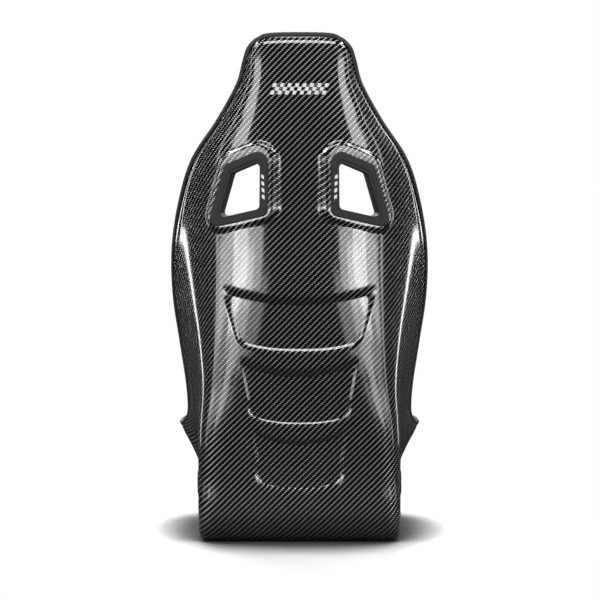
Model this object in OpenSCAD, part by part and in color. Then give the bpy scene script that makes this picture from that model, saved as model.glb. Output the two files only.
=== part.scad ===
// Carbon shell racing bucket seat: one shell, bonded foam pads, three lift-off cushions,
// harness, lap-belt and crotch-strap openings, and threaded side mounts.
// The seat faces -Y, +Z is up, and the origin is under the middle of the whole seat.
// Left and right are the sitter's, so left is +X.

/* [Overall] */
// Height of the seat above the surface it stands on
seat_height = 930; // [775:1:1120]
// Height at which the backrest meets the seat
hip_height = 210; // [175:1:250]
// How far the head end lies behind the hip end of the backrest
back_lean = 84; // [60:1:105]
// Distance from the middle of the pan to its front lip
front_reach = 278; // [235:1:330]
// Distance from the middle of the pan to the foot of the backrest
rear_reach = 171; // [143:1:205]

/* [Widths] */
// Width of the head part
head_width = 202; // [168:1:242]
// Width across the shoulder wings
shoulder_width = 480; // [440:1:576]
// Width at the waist
waist_width = 428; // [410:1:470]
// Width across the hip wings
hip_width = 468; // [440:1:560]
// Width of the pan between its upright flanks
base_width = 378; // [312:1:420]

/* [Wings] */
// How far the shoulder wings reach forward of the backrest
wing_depth = 166; // [138:1:200]
// Height of the thigh wings above the underside
thigh_height = 207; // [180:1:240]

/* [Shell] */
// Thickness of the laminate
shell_wall = 4; // [2.5:0.1:6]
// Clearance between bonded or nested pieces
fit_gap = 0.5; // [0.3:0.1:1]

/* [Edge trim] */
// Depth of the rubber profile over the laminate edge
trim_leg = 7; // [5:0.5:9]
// Thickness of the rubber profile
trim_wall = 2; // [1:0.25:3]

/* [Harness openings] */
// Distance of the shoulder-belt opening's centre from the middle
slot_x = 102; // [95:1:108]
// Distance of the opening's centre below the top of the seat
slot_drop = 282; // [270:1:300]
// Scale of the opening: 1 takes a 3 inch belt
slot_scale = 1; // [0.85:0.05:1.1]
// Height of the moulded boss at the middle of the opening
boss_height = 4; // [2:0.5:8]
// Thickness of the bezel flanges
bezel_flange = 3.5; // [2:0.25:5]
// Wall of the collars that line the opening
collar_wall = 2.5; // [1.5:0.25:3.5]

/* [Lap belts and crotch strap] */
// Length of the lap-belt opening
lap_length = 68; // [56:1:76]
// Height of the lap-belt opening
lap_slot_height = 28; // [22:1:32]
// Distance of the lap-belt opening's centre behind the middle
lap_y = 86; // [80:1:90]
// Height of the lap-belt opening's centre
lap_z = 106; // [104:1:110]
// Length of the crotch-strap opening
crotch_length = 80; // [60:1:95]
// Width of the crotch-strap opening
crotch_width = 30; // [20:1:40]
// Distance of the crotch-strap opening's centre from the middle
crotch_y = -20; // [-40:1:0]
// Width of the rubber flange around these openings
grommet_rim = 10; // [8:0.5:12]

/* [Side mounts] */
// Distance between the front and rear bolts
bolt_spacing = 290; // [242:1:300]
// Distance of the bolt pair's middle from the middle of the seat
bolt_middle = -32; // [-42:1:-27]
// Height of the bolts above the underside
bolt_height = 66; // [60:1:68]
// Radius of the tapping hole for an M8 thread
thread_radius = 3.4; // [2.5:0.1:4.3]
// Outer radius of the threaded bushes
bush_radius = 6.5; // [5.5:0.25:7.5]
// Outer radius of the bush flange
bush_flange_radius = 11; // [9:0.5:13]
// Thickness of the aluminium plate inside each flank
plate_thickness = 6; // [4:0.5:8]
// Height of the aluminium plate inside each flank
plate_height = 28; // [24:1:30]

/* [Pads] */
// Foam on the pan and the lower back, under the lift-off cushions
liner_foam = 8; // [5:0.5:14]
// Foam on the upper back and head
back_foam = 16; // [12:0.5:20]
// Foam of the shoulder, side and thigh bolsters
bolster_foam = 24; // [14:0.5:27]
// Thickness of the pads at their edges
pad_edge = 7; // [5:0.5:10]

/* [Lift-off cushions] */
// Thickness of the base cushion
base_cushion_height = 46; // [38:1:55]
// Thickness of the lumbar cushion
lumbar_cushion_height = 34; // [28:1:41]
// Thickness of the head cushion
head_cushion_height = 28; // [23:1:34]
// Thickness of the cover fabric with its lining
cover_thickness = 2.5; // [1.5:0.25:3.5]
// Thickness of the backing panel
backing_thickness = 3; // [2:0.25:4]
// Thickness of the hook-and-loop strips
strip_thickness = 2.6; // [1.5:0.1:4]

/* [Hidden] */

carbon = "#1c1d20";
rubber = "#2b2b2e";
fabric = "#17181b";
foam_colour = "#8f8f86";
steel = "#b9bcc2";
aluminium = "#a9adb3";
webbing = "#3a3a40";

// ---- small functions ----
function mix(a, b, k) = a + (b - a) * k;
function cross_fade(a, b, c, k) = k < 0.5 ? mix(a, b, 2 * k) : mix(b, c, 2 * k - 1);
function unit(v) = v / norm(v);
function flat_list(rows) = [for (row = rows) for (p = row) p];
function ease(v) = 0.4 * v + 0.6 * v * v * (3 - 2 * v);
function last(v) = v[len(v) - 1];

// ---- the shell's stations, from the top of the head to the front lip ----
// Each is the outer skin's centre line point (y, z), the wing edge point (y, z), the half
// width where back turns into wing, the half width at the edge, the length of that turn,
// the crown, how upright the flank is (0 to 1), and the share of the flank that is flat.
head_half = head_width / 2;
shoulder_half = shoulder_width / 2;
waist_half = waist_width / 2;
hip_half = hip_width / 2;
base_half = base_width / 2;
hip_y = rear_reach + 21;

function back_station(up, lean, reach, edge_drop, turn_half, edge_half, turn, crown, upright) =
    let (y = hip_y + back_lean * lean, z = mix(hip_height, seat_height, up))
    [y, z, y - wing_depth * reach, z - edge_drop, turn_half, edge_half, turn, crown, upright, 0.5];

function pan_station(y, z, edge_y, edge_z, turn_half, edge_half, turn, upright, flat_share) =
    [y, z, edge_y, edge_z, turn_half, edge_half, turn, 0, upright, flat_share];

STATIONS = [
    back_station(1.000, 0.93, 0.04, 11, head_half - 43, head_half - 21, 60, 0, 0),
    back_station(0.983, 0.98, 0.10, 13, head_half - 35, head_half - 8, 70, 0, 0),
    back_station(0.951, 1.00, 0.16, 13, head_half - 29, head_half, 80, 0, 0),
    back_station(0.889, 1.00, 0.24, 8, head_half - 21, head_half + 12, 95, 0, 0),
    back_station(0.806, 0.95, 0.35, 10, mix(head_half - 21, base_half, 0.17),
        mix(head_half, shoulder_half, 0.345), 110, 2, 0),
    back_station(0.715, 0.87, 0.49, 13, mix(head_half - 21, base_half, 0.43),
        mix(head_half, shoulder_half, 0.685), 120, 4, 0),
    back_station(0.618, 0.76, 0.65, 15, mix(head_half - 21, base_half, 0.58),
        mix(head_half, shoulder_half, 0.87), 130, 6, 0),
    back_station(0.500, 0.63, 0.87, 18, mix(head_half - 21, base_half, 0.71),
        shoulder_half - 1, 140, 7, 0),
    back_station(0.375, 0.48, 1.00, 18, mix(head_half - 21, base_half, 0.80),
        shoulder_half, 140, 7, 0),
    back_station(0.250, 0.31, 1.00, 18, mix(head_half - 21, base_half, 0.86),
        mix(waist_half, shoulder_half, 0.54), 120, 6, 0.1),
    back_station(0.125, 0.14, 0.94, 8, base_half - 9,
        mix(waist_half, shoulder_half, 0.08), 95, 5, 0.4),
    back_station(0.000, 0.00, 1.00, -26, base_half, waist_half, 70, 3, 0.8),
    pan_station(rear_reach + 10, hip_height - 90, rear_reach - 183, thigh_height + 5,
        base_half, mix(waist_half, hip_half, 0.55), 55, 1, 0.6),
    pan_station(rear_reach, 40, rear_reach - 225, thigh_height - 1, base_half, hip_half, 38, 1, 0.6),
    pan_station(rear_reach - 31, 0, rear_reach - 261, thigh_height - 1, base_half, hip_half + 2, 30, 1, 0.57),
    pan_station(rear_reach - 113, 0, rear_reach - 297, thigh_height, base_half, hip_half, 30, 1, 0.47),
    pan_station(-0.15 * front_reach, 0, -0.6 * front_reach, thigh_height,
        base_half, hip_half - 5, 32, 1, 0.44),
    pan_station(-0.52 * front_reach, 0, -0.74 * front_reach, thigh_height - 4,
        base_half, hip_half - 11, 40, 1, 0.45),
    pan_station(-0.75 * front_reach, 16, -0.835 * front_reach, thigh_height - 17,
        base_half, hip_half - 18, 40, 1, 0.45),
    pan_station(-0.925 * front_reach, 64, -0.905 * front_reach, thigh_height - 44,
        base_half - 11, hip_half - 31, 50, 0.7, 0.3),
    pan_station(-front_reach, 114, -0.955 * front_reach, thigh_height - 76,
        base_half - 27, hip_half - 52, 60, 0.3, 0.3)];

// A smooth curve through the stations, read at station number s
function station(s) =
    let (n = len(STATIONS), i = min(max(floor(s), 0), n - 2), t = s - i,
        a = STATIONS[i], b = STATIONS[i + 1],
        slope_a = i > 0 ? (b - STATIONS[i - 1]) / 2 : b - a,
        slope_b = i < n - 2 ? (STATIONS[i + 2] - a) / 2 : b - a,
        t2 = t * t, t3 = t2 * t)
    (2 * t3 - 3 * t2 + 1) * a + (t3 - 2 * t2 + t) * slope_a
        + (3 * t2 - 2 * t3) * b + (t3 - t2) * slope_b;

// Half of the section at a station, in its own plane: [distance from the middle,
// distance forward of the centre line], at u from 0 at the middle to 1 at the edge
function wing_point(st, depth, q) =
    let (v = max(0, (q - st[9]) / (1 - st[9])), share = (1 - st[8]) * q + st[8] * ease(v))
    [st[4] + (st[5] - st[4]) * share, q * depth];
function turn_point(p, t) =
    let (r = 1 - t)
    r * r * r * r * p[0] + 4 * t * r * r * r * p[1] + 6 * t * t * r * r * p[2]
        + 4 * t * t * t * r * p[3] + t * t * t * t * p[4];
function section_point(st, depth, u) =
    let (along = unit([(st[5] - st[4]) * (1 - st[8]), depth]),
        back_turn = min(st[6], 0.95 * st[4]), wing_turn = min(st[6], 0.9 * depth),
        q_end = wing_turn * along[1] / depth,
        turn = [[st[4] - back_turn, 0], [st[4] - back_turn / 2, 0], [st[4], 0],
            [st[4], 0] + along * wing_turn / 2, wing_point(st, depth, q_end)],
        back_len = st[4] - back_turn, turn_len = 0.9 * (back_turn + wing_turn),
        wing_len = (1 - q_end) * depth, whole = back_len + turn_len + wing_len,
        a = back_len / whole, b = (back_len + turn_len) / whole)
    u <= a ? [u / a * back_len, 0]
        : u <= b ? turn_point(turn, (u - a) / (b - a))
        : wing_point(st, depth, q_end + (1 - q_end) * (u - b) / (1 - b));

function skin_point(s, u) =
    let (raw = station(s), z = max(raw[1], 0), span = [raw[2] - raw[0], raw[3] - z],
        depth = norm(span), forward = span / depth,
        p = section_point(raw, depth, abs(u)),
        side = min(p[0] / raw[4], 1), ahead = p[1] - raw[7] * (1 - side * side))
    [sign(u) * p[0], raw[0] + forward[0] * ahead, z + forward[1] * ahead];

// ---- the grid that every shell-shaped piece shares ----
steps_between = [1, 1, 2, 2, 2, 3, 3, 3, 3, 3, 3, 3, 3, 3, 3, 3, 3, 3, 3, 3];
ROW_S = concat([for (k = [0:len(steps_between) - 1]) for (n = [0:steps_between[k] - 1])
    k + n / steps_between[k]], [len(STATIONS) - 1]);
half_cols = 16;
rows = len(ROW_S) - 1;
cols = 2 * half_cols;

SKIN = [for (s = ROW_S) [for (j = [-half_cols:half_cols]) skin_point(s, j / half_cols)]];
function normal_at(i, j) = unit(cross(SKIN[i + 1][j] - SKIN[i - 1][j], SKIN[i][j + 1] - SKIN[i][j - 1]));
// The border takes the normals of the points next to it
INWARD = [for (i = [0:rows]) [for (j = [0:cols])
    normal_at(min(max(i, 1), rows - 1), min(max(j, 1), cols - 1))]];
function layer(depth) = SKIN + depth * INWARD;

// Station numbers and column numbers turned into grid positions
function row_of(s) = lookup(s, [for (i = [0:rows]) [ROW_S[i], i]]);
function col_of(j) = half_cols + j;
function knots(a, b) = concat([a], [for (k = [floor(a) + 1:ceil(b) - 1]) k], [b]);
function hem_knots(a, b, hem) = concat([a, a + hem],
    [for (k = [floor(a + hem) + 1:ceil(b - hem) - 1]) k], [b - hem, b]);
function between(grid, r, c) =
    let (i = min(floor(r), rows - 1), j = min(floor(c), cols - 1), fr = r - i, fc = c - j)
    mix(mix(grid[i][j], grid[i][j + 1], fc), mix(grid[i + 1][j], grid[i + 1][j + 1], fc), fr);
function window(grid, rk, ck) = [for (r = rk) [for (c = ck) between(grid, r, c)]];

// A closed solid between two grids of the same size, the first one outside
function quad(a, b, c, d, x) = x < 0 ? [[a, b, d], [b, c, d]] : [[a, b, c], [a, c, d]];
function turned(faces) = [for (f = faces) [f[0], f[2], f[1]]];
module between_grids(outer, inner) {
    m = len(outer) - 1;
    n = len(outer[0]) - 1;
    inside = (m + 1) * (n + 1);
    function at(i, j) = i * (n + 1) + j;
    function tiles() = [for (i = [0:m - 1]) for (j = [0:n - 1])
        for (f = quad(at(i, j), at(i + 1, j), at(i + 1, j + 1), at(i, j + 1),
            outer[i][j][0] + outer[i][j + 1][0])) f];
    top = [for (j = [0:n - 1]) each [[at(0, j), at(0, j + 1), inside + at(0, j + 1)],
        [at(0, j), inside + at(0, j + 1), inside + at(0, j)]]];
    bottom = [for (j = [0:n - 1]) each [[at(m, j), at(m, j + 1), inside + at(m, j + 1)],
        [at(m, j), inside + at(m, j + 1), inside + at(m, j)]]];
    left = [for (i = [0:m - 1]) each [[at(i, 0), inside + at(i, 0), inside + at(i + 1, 0)],
        [at(i, 0), inside + at(i + 1, 0), at(i + 1, 0)]]];
    right = [for (i = [0:m - 1]) each [[at(i, n), inside + at(i, n), inside + at(i + 1, n)],
        [at(i, n), inside + at(i + 1, n), at(i + 1, n)]]];
    polyhedron(points = concat(flat_list(outer), flat_list(inner)),
        faces = concat(tiles(), [for (f = turned(tiles())) f + [inside, inside, inside]],
            top, turned(bottom), left, turned(right)), convexity = 8);
}

// ---- outlines ----
// Moves each edge of an outline outwards by its own width
function edge_normal(pts, k) =
    let (d = unit(pts[(k + 1) % len(pts)] - pts[k])) [d[1], -d[0]];
function grown(pts, widths) = [for (k = [0:len(pts) - 1])
    let (j = (k + len(pts) - 1) % len(pts), n1 = edge_normal(pts, j), n2 = edge_normal(pts, k),
        e1 = widths[j] + n1 * pts[k], e2 = widths[k] + n2 * pts[k],
        det = n1[0] * n2[1] - n1[1] * n2[0])
    [(e1 * n2[1] - e2 * n1[1]) / det, (n1[0] * e2 - n2[0] * e1) / det]];
// Rounds each corner with its own radius
corner_steps = 6;
function rounded(pts, radii) = [for (k = [0:len(pts) - 1])
    let (p = pts[k], a = unit(pts[(k + len(pts) - 1) % len(pts)] - p),
        b = unit(pts[(k + 1) % len(pts)] - p), half = acos(a * b) / 2,
        centre = p + unit(a + b) * radii[k] / sin(half),
        start = p + a * radii[k] / tan(half) - centre, sweep = 180 - 2 * half)
    for (n = [0:corner_steps])
        let (g = sweep * n / corner_steps)
        centre + [start[0] * cos(g) - start[1] * sin(g), start[0] * sin(g) + start[1] * cos(g)]];
function box_outline(w, h) = [[-w / 2, -h / 2], [w / 2, -h / 2], [w / 2, h / 2], [-w / 2, h / 2]];

// ---- shoulder-belt openings ----
slot_z = seat_height - slot_drop;
// Corners of the opening on the sitter's left round its centre, from the inner bottom corner
SLOT = slot_scale * [[-32, -31], [46, -47], [19, 32], [-36, 53]];
SLOT_RADII = [9, 7, 7, 7];
// Widths of the bezel below, outside, above and inside the opening
BEZEL_BARS = [15, 17, 20, 15];
BEZEL_RADII = [13, 14, 18, 20];
boss_margin = 8;
function same(w) = [w, w, w, w];
function added(radii, w) = [for (r = radii) r + w];
SLOT_OUTLINE = rounded(SLOT, SLOT_RADII);
COLLAR_OUTLINE = rounded(grown(SLOT, same(collar_wall)), added(SLOT_RADII, collar_wall));
SHELL_SLOT = rounded(grown(SLOT, same(collar_wall + fit_gap)),
    added(SLOT_RADII, collar_wall + fit_gap));
BEZEL_OUTLINE = rounded(grown(SLOT, BEZEL_BARS), BEZEL_RADII);
BOSS_OUTLINE = rounded(grown(grown(SLOT, BEZEL_BARS), same(boss_margin)),
    added(BEZEL_RADII, boss_margin));
PAD_SLOT = rounded(grown(grown(SLOT, BEZEL_BARS), same(1.5)), added(BEZEL_RADII, 1.5));

// The skin's depth at a place on the back, read off the grid
back_rows = [for (i = [0:rows]) if (ROW_S[i] > 3 && ROW_S[i] < 9) i];
function skin_y(x, z) = lookup(z, [for (i = back_rows)
    [lookup(x, [for (j = [half_cols:cols]) [SKIN[i][j][0], SKIN[i][j][2]]]),
        lookup(x, [for (j = [half_cols:cols]) [SKIN[i][j][0], SKIN[i][j][1]]])]]);
probe = 45;
slot_y = skin_y(slot_x, slot_z);
slot_yaw = atan((skin_y(slot_x + probe, slot_z) - skin_y(slot_x - probe, slot_z)) / (2 * probe));
slot_pitch = atan((skin_y(slot_x, slot_z + probe) - skin_y(slot_x, slot_z - probe)) / (2 * probe));
// The frame of the left opening: z points forward through the seat from the boss face
module slot_frame() {
    translate([slot_x, slot_y, slot_z]) rotate([0, 0, slot_yaw]) rotate([90 - slot_pitch, 0, 0])
        translate([0, 0, -boss_height]) children();
}
module slot_prism(outline, from, to) {
    translate([0, 0, from]) linear_extrude(height = to - from) polygon(outline);
}
module both_sides() {
    children();
    mirror([1, 0, 0]) children();
}
// Depths measured forward from the boss face
pad_back = boss_height + shell_wall + fit_gap;
bezel_seat = pad_back + back_foam - 2;
collar_meet = boss_height + shell_wall + 6;
through = 60;

module harness_boss() {
    window_rows = knots(row_of(5), row_of(7.6));
    window_cols = knots(col_of(1), col_of(15.5));
    intersection() {
        between_grids(window(layer(-25), window_rows, window_cols),
            window(layer(shell_wall / 2), window_rows, window_cols));
        slot_frame() slot_prism(BOSS_OUTLINE, 0, through);
    }
}

module harness_bezel_rear() {
    color(rubber) slot_frame() difference() {
        union() {
            slot_prism(BEZEL_OUTLINE, -bezel_flange, -0.05);
            slot_prism(COLLAR_OUTLINE, -bezel_flange, collar_meet);
        }
        slot_prism(SLOT_OUTLINE, -through, through);
    }
}

module harness_bezel_front() {
    color(rubber) slot_frame() difference() {
        union() {
            slot_prism(BEZEL_OUTLINE, bezel_seat, bezel_seat + bezel_flange);
            slot_prism(COLLAR_OUTLINE, collar_meet + fit_gap, bezel_seat + bezel_flange);
        }
        slot_prism(SLOT_OUTLINE, -through, through);
    }
}

// ---- lap-belt and crotch-strap openings ----
LAP = box_outline(lap_length, lap_slot_height);
lap_radius = 10;
CROTCH = box_outline(crotch_length, crotch_width);
crotch_radius = 11;
grommet_flange = 2.4;
// z points outwards from the left flank's outer face, x points backwards
module flank_frame(y, z) {
    translate([base_half, y, z]) rotate([90, 0, 90]) children();
}
module lap_prism(grow, from, to) {
    translate([0, 0, from]) linear_extrude(height = to - from)
        polygon(rounded(grown(LAP, same(grow)), same(lap_radius + grow)));
}
module lap_belt_grommet() {
    color(rubber) flank_frame(lap_y, lap_z) difference() {
        union() {
            lap_prism(grommet_rim, 0.05, grommet_flange);
            lap_prism(collar_wall, -shell_wall - grommet_flange, grommet_flange);
            lap_prism(grommet_rim - 3, -shell_wall - grommet_flange, -shell_wall - 0.4);
        }
        lap_prism(0, -through, through);
    }
}
module crotch_prism(grow, from, to) {
    translate([0, crotch_y, from]) linear_extrude(height = to - from)
        polygon(rounded(grown(CROTCH, same(grow)), same(crotch_radius + grow)));
}
pan_top = shell_wall + fit_gap + liner_foam;
module crotch_strap_grommet() {
    color(rubber) difference() {
        union() {
            crotch_prism(grommet_rim, pan_top + 0.05, pan_top + grommet_flange);
            crotch_prism(collar_wall, 0.5, pan_top + grommet_flange);
        }
        crotch_prism(0, -1, through);
    }
}

// ---- side mounts ----
bush_flange = 1.5;
bush_gap = 0.6;
plate_end = 13;
plate_outer = shell_wall + 0.15;
BOLT_Y = [bolt_middle - bolt_spacing / 2, bolt_middle + bolt_spacing / 2];
module at_bolts() {
    for (y = BOLT_Y) flank_frame(y, bolt_height) children();
}
module mount_plate() {
    color(aluminium) difference() {
        translate([base_half - plate_outer - plate_thickness, BOLT_Y[0] - plate_end,
            bolt_height - plate_height / 2])
            cube([plate_thickness, bolt_spacing + 2 * plate_end, plate_height]);
        at_bolts() translate([0, 0, -through]) cylinder(h = 2 * through, r = thread_radius, $fn = 48);
    }
}
module mount_bush() {
    difference() {
        union() {
            translate([0, 0, bush_gap]) cylinder(h = bush_flange - bush_gap, r = bush_flange_radius, $fn = 64);
            translate([0, 0, -shell_wall]) cylinder(h = shell_wall + 1, r = bush_radius, $fn = 48);
        }
        translate([0, 0, -through]) cylinder(h = 2 * through, r = thread_radius, $fn = 48);
    }
}
module mount_bushes() {
    color(steel) both_sides() at_bolts() mount_bush();
}

// ---- shell and its edge ----
module shell() {
    color(carbon) difference() {
        union() {
            between_grids(SKIN, layer(shell_wall));
            both_sides() harness_boss();
        }
        both_sides() slot_frame() slot_prism(SHELL_SLOT, -through, through);
        both_sides() flank_frame(lap_y, lap_z) lap_prism(collar_wall + fit_gap, -20, 20);
        crotch_prism(collar_wall + fit_gap, -5, 20);
        both_sides() at_bolts() translate([0, 0, -20])
            cylinder(h = 40, r = bush_radius + 0.3, $fn = 48);
    }
}

// The rim of the grid as [row, column], once round from the top corner on the sitter's right
RIM = concat([for (j = [0:cols]) [0, j]], [for (i = [1:rows]) [i, cols]],
    [for (j = [cols - 1:-1:0]) [rows, j]], [for (i = [rows - 1:-1:1]) [i, 0]]);
// A grid's point in from a place on the rim: one step, or two at the front corners
function inner_point(grid, i, j) =
    j > 0 && j < cols || i > 0 && i < rows ? grid[min(max(i, 1), rows - 1)][min(max(j, 1), cols - 1)]
        : i == 0 ? (grid[0][j == 0 ? 1 : cols - 1] + grid[1][j]) / 2
        : grid[rows - 2][j == 0 ? 2 : cols - 2];
trim_gap = 0.4;
// Corners of the rubber profile: [distance beyond the edge, depth from the outer skin]
TRIM_PROFILE = [[-trim_leg, -trim_gap - trim_wall], [trim_gap + trim_wall, -trim_gap - trim_wall],
    [trim_gap + trim_wall, shell_wall + trim_gap + trim_wall],
    [-trim_leg, shell_wall + trim_gap + trim_wall], [-trim_leg, shell_wall + trim_gap],
    [trim_gap, shell_wall + trim_gap], [trim_gap, -trim_gap], [-trim_leg, -trim_gap]];
module edge_trim() {
    sides = len(TRIM_PROFILE);
    points = [for (r = RIM)
        let (edge = SKIN[r[0]][r[1]], n = INWARD[r[0]][r[1]], next = inner_point(SKIN, r[0], r[1]),
            turn = inner_point(INWARD, r[0], r[1]) - n)
        for (p = TRIM_PROFILE) edge + p[1] * n - p[0] * unit(next - edge + p[1] * turn)];
    // The profile's triangles are split the way the laminate's are, so that both stay apart
    faces = [for (k = [0:len(RIM) - 1]) for (p = [0:sides - 1])
        let (next = (k + 1) % len(RIM), q = (p + 1) % sides, a = RIM[k], b = RIM[next],
            along_x = SKIN[a[0]][a[1]][0] + SKIN[b[0]][b[1]][0], on_side = a[1] == b[1],
            starts_inside = (along_x < 0) != on_side, goes_out = TRIM_PROFILE[p][0] < TRIM_PROFILE[q][0],
            kp = k * sides + p, kq = k * sides + q, np = next * sides + p, nq = next * sides + q)
        each starts_inside == goes_out ? [[kp, kq, nq], [kp, nq, np]] : [[kp, kq, np], [kq, nq, np]]];
    color(rubber) polyhedron(points = points, faces = faces, convexity = 12);
}

// ---- bonded pads ----
function pillow(k, first, end) = 1 - pow(abs(2 * (k - first) / (end - first) - 1), 6);
module pad(s0, s1, j0, j1, foam) {
    rk = knots(row_of(s0), row_of(s1));
    ck = knots(col_of(j0), col_of(j1));
    back = window(layer(shell_wall + fit_gap), rk, ck);
    inward = window(INWARD, rk, ck);
    front = [for (a = [0:len(rk) - 1]) [for (b = [0:len(ck) - 1])
        back[a][b] + inward[a][b] * mix(pad_edge, foam,
            pillow(rk[a], rk[0], last(rk)) * pillow(ck[b], ck[0], last(ck)))]];
    between_grids(back, front);
}
// Where the pads end: station numbers down the seat and columns across it
// The upper pad ends this far below the openings
slot_margin = 9.8;
head_top = 1.2;
head_end = 4.05;
upper_end = lookup(slot_z + SLOT[1][1] - slot_margin, [for (k = [0:11]) [STATIONS[k][1], k]]);
mid_end = 8.85;
lower_end = 12.6;
side_end = 11.0;
pan_start = 14.15;
pan_end = 19.4;
thigh_start = 15;
seam = 0.12;
rim_col = 15.2;
back_col = 8.6;
liner_col = 7;
pan_col = 6.6;
thigh_col = 7.8;

module head_pad() {
    color(fabric) pad(head_top, head_end, -rim_col + 0.6, rim_col - 0.6, back_foam - 4);
}
module upper_back_pad() {
    color(fabric) difference() {
        pad(head_end + seam, upper_end, -rim_col, rim_col, back_foam);
        both_sides() slot_frame() {
            slot_prism(SHELL_SLOT, -through, through);
            slot_prism(PAD_SLOT, bezel_seat - 0.2, through);
        }
    }
}
module mid_back_pad() {
    color(fabric) pad(upper_end + seam, mid_end, -back_col, back_col, back_foam);
}
module lower_back_pad() {
    color(fabric) pad(mid_end + seam, lower_end, -liner_col, liner_col, liner_foam);
}
module pan_pad() {
    color(fabric) difference() {
        pad(pan_start, pan_end, -pan_col, pan_col, liner_foam);
        crotch_prism(collar_wall + fit_gap, -5, 30);
    }
}
module shoulder_bolster() {
    color(fabric) pad(upper_end + seam, mid_end, back_col + seam, rim_col, bolster_foam);
}
module side_bolster() {
    color(fabric) pad(mid_end + seam, side_end, back_col + seam, rim_col, bolster_foam);
}
module thigh_bolster() {
    pocket = 0.4;
    color(fabric) difference() {
        pad(thigh_start, pan_end, thigh_col, rim_col - 0.4, bolster_foam - 2);
        translate([base_half - plate_outer - plate_thickness - pocket,
            BOLT_Y[0] - plate_end - pocket, bolt_height - plate_height / 2 - pocket])
            cube([plate_thickness + 10, bolt_spacing + 2 * plate_end + 2 * pocket,
                plate_height + 2 * pocket]);
    }
}

// ---- lift-off cushions ----
hem = 0.2;
// A layer of a cushion over a part of the grid, its border at the cushion's underside
function cushion_layer(s0, s1, j, depth, height, inset, low) =
    let (rk = hem_knots(row_of(s0) + inset, row_of(s1) - inset, hem),
        ck = hem_knots(col_of(-j) + inset, col_of(j) - inset, hem),
        ground = window(layer(depth), rk, ck), inward = window(INWARD, rk, ck),
        m = len(rk) - 1, n = len(ck) - 1)
    [for (a = [0:m]) [for (b = [0:n])
        let (border = a == 0 || b == 0 || a == m || b == n,
            round_off = pillow(rk[a], rk[0], rk[m]) * pillow(ck[b], ck[0], ck[n]))
        ground[a][b] + inward[a][b] * (border ? low : mix(0.7 * height, height, round_off))]];

module cushion_cover(s0, s1, j, depth, height) {
    rim = backing_thickness + 0.2;
    between_grids(
        cushion_layer(s0, s1, j, depth, height - cover_thickness, cover_inset, rim),
        cushion_layer(s0, s1, j, depth, height, 0, rim));
}
module cushion_foam(s0, s1, j, depth, height) {
    under = backing_thickness + 0.4;
    top = cushion_layer(s0, s1, j, depth, height - cover_thickness - 0.8, foam_inset, under + 1);
    flat = cushion_layer(s0, s1, j, depth, 0, foam_inset, under);
    inward = cushion_layer(s0, s1, j, depth, 1, foam_inset, 1);
    ground = [for (a = [0:len(flat) - 1]) [for (b = [0:len(flat[0]) - 1])
        flat[a][b] + (a == 0 || b == 0 || a == len(flat) - 1 || b == len(flat[0]) - 1
            ? [0, 0, 0] : unit(inward[a][b] - flat[a][b]) * under)]];
    between_grids(ground, top);
}
module cushion_backing(s0, s1, j, depth) {
    rk = knots(row_of(s0), row_of(s1));
    ck = knots(col_of(-j), col_of(j));
    between_grids(window(layer(depth), rk, ck), window(layer(depth + backing_thickness), rk, ck));
}
cover_inset = 0.15;
foam_inset = 0.22;
// Hook-and-loop strips across a pad: each is [first station, last station, column, column]
module hook_strips(places, depth) {
    color(webbing) for (p = places)
        between_grids(
            window(layer(depth), knots(row_of(p[0]), row_of(p[1])), knots(col_of(p[2]), col_of(p[3]))),
            window(layer(depth + strip_thickness), knots(row_of(p[0]), row_of(p[1])),
                knots(col_of(p[2]), col_of(p[3]))));
}
base_span = [14.6, 18.9];
base_col = 5.2;
lumbar_span = [9.15, 12.2];
lumbar_col = 5.6;
head_span = [1.8, 3.85];
head_col = 10.5;
function strip_depth(foam) = shell_wall + fit_gap + foam + 0.1;
function cushion_depth(foam) = strip_depth(foam) + strip_thickness + 0.4;

module base_hook_strips() {
    hook_strips([[14.8, 15.0, -5, 5], [18.2, 18.5, -5, 5]], strip_depth(liner_foam));
}
module lumbar_hook_strips() {
    hook_strips([[9.5, 9.8, -5, 5], [11.4, 11.7, -5, 5]], strip_depth(liner_foam));
}
module head_hook_strips() {
    hook_strips([[2.3, 2.6, -8, 8], [3.3, 3.5, -8, 8]], strip_depth(back_foam - 4));
}
module crotch_hole() {
    crotch_prism(grommet_rim - 4, -5, 140);
}
module base_cushion_cover() {
    color(fabric) difference() {
        cushion_cover(base_span[0], base_span[1], base_col, cushion_depth(liner_foam), base_cushion_height);
        crotch_hole();
    }
}
module base_cushion_foam() {
    color(foam_colour) difference() {
        cushion_foam(base_span[0], base_span[1], base_col, cushion_depth(liner_foam), base_cushion_height);
        crotch_hole();
    }
}
module base_cushion_backing() {
    color(webbing) difference() {
        cushion_backing(base_span[0], base_span[1], base_col, cushion_depth(liner_foam));
        crotch_hole();
    }
}
module lumbar_cushion_cover() {
    color(fabric) cushion_cover(lumbar_span[0], lumbar_span[1], lumbar_col,
        cushion_depth(liner_foam), lumbar_cushion_height);
}
module lumbar_cushion_foam() {
    color(foam_colour) cushion_foam(lumbar_span[0], lumbar_span[1], lumbar_col,
        cushion_depth(liner_foam), lumbar_cushion_height);
}
module lumbar_cushion_backing() {
    color(webbing) cushion_backing(lumbar_span[0], lumbar_span[1], lumbar_col,
        cushion_depth(liner_foam));
}
module head_cushion_cover() {
    color(fabric) cushion_cover(head_span[0], head_span[1], head_col,
        cushion_depth(back_foam - 4), head_cushion_height);
}
module head_cushion_foam() {
    color(foam_colour) cushion_foam(head_span[0], head_span[1], head_col,
        cushion_depth(back_foam - 4), head_cushion_height);
}
module head_cushion_backing() {
    color(webbing) cushion_backing(head_span[0], head_span[1], head_col,
        cushion_depth(back_foam - 4));
}

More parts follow.
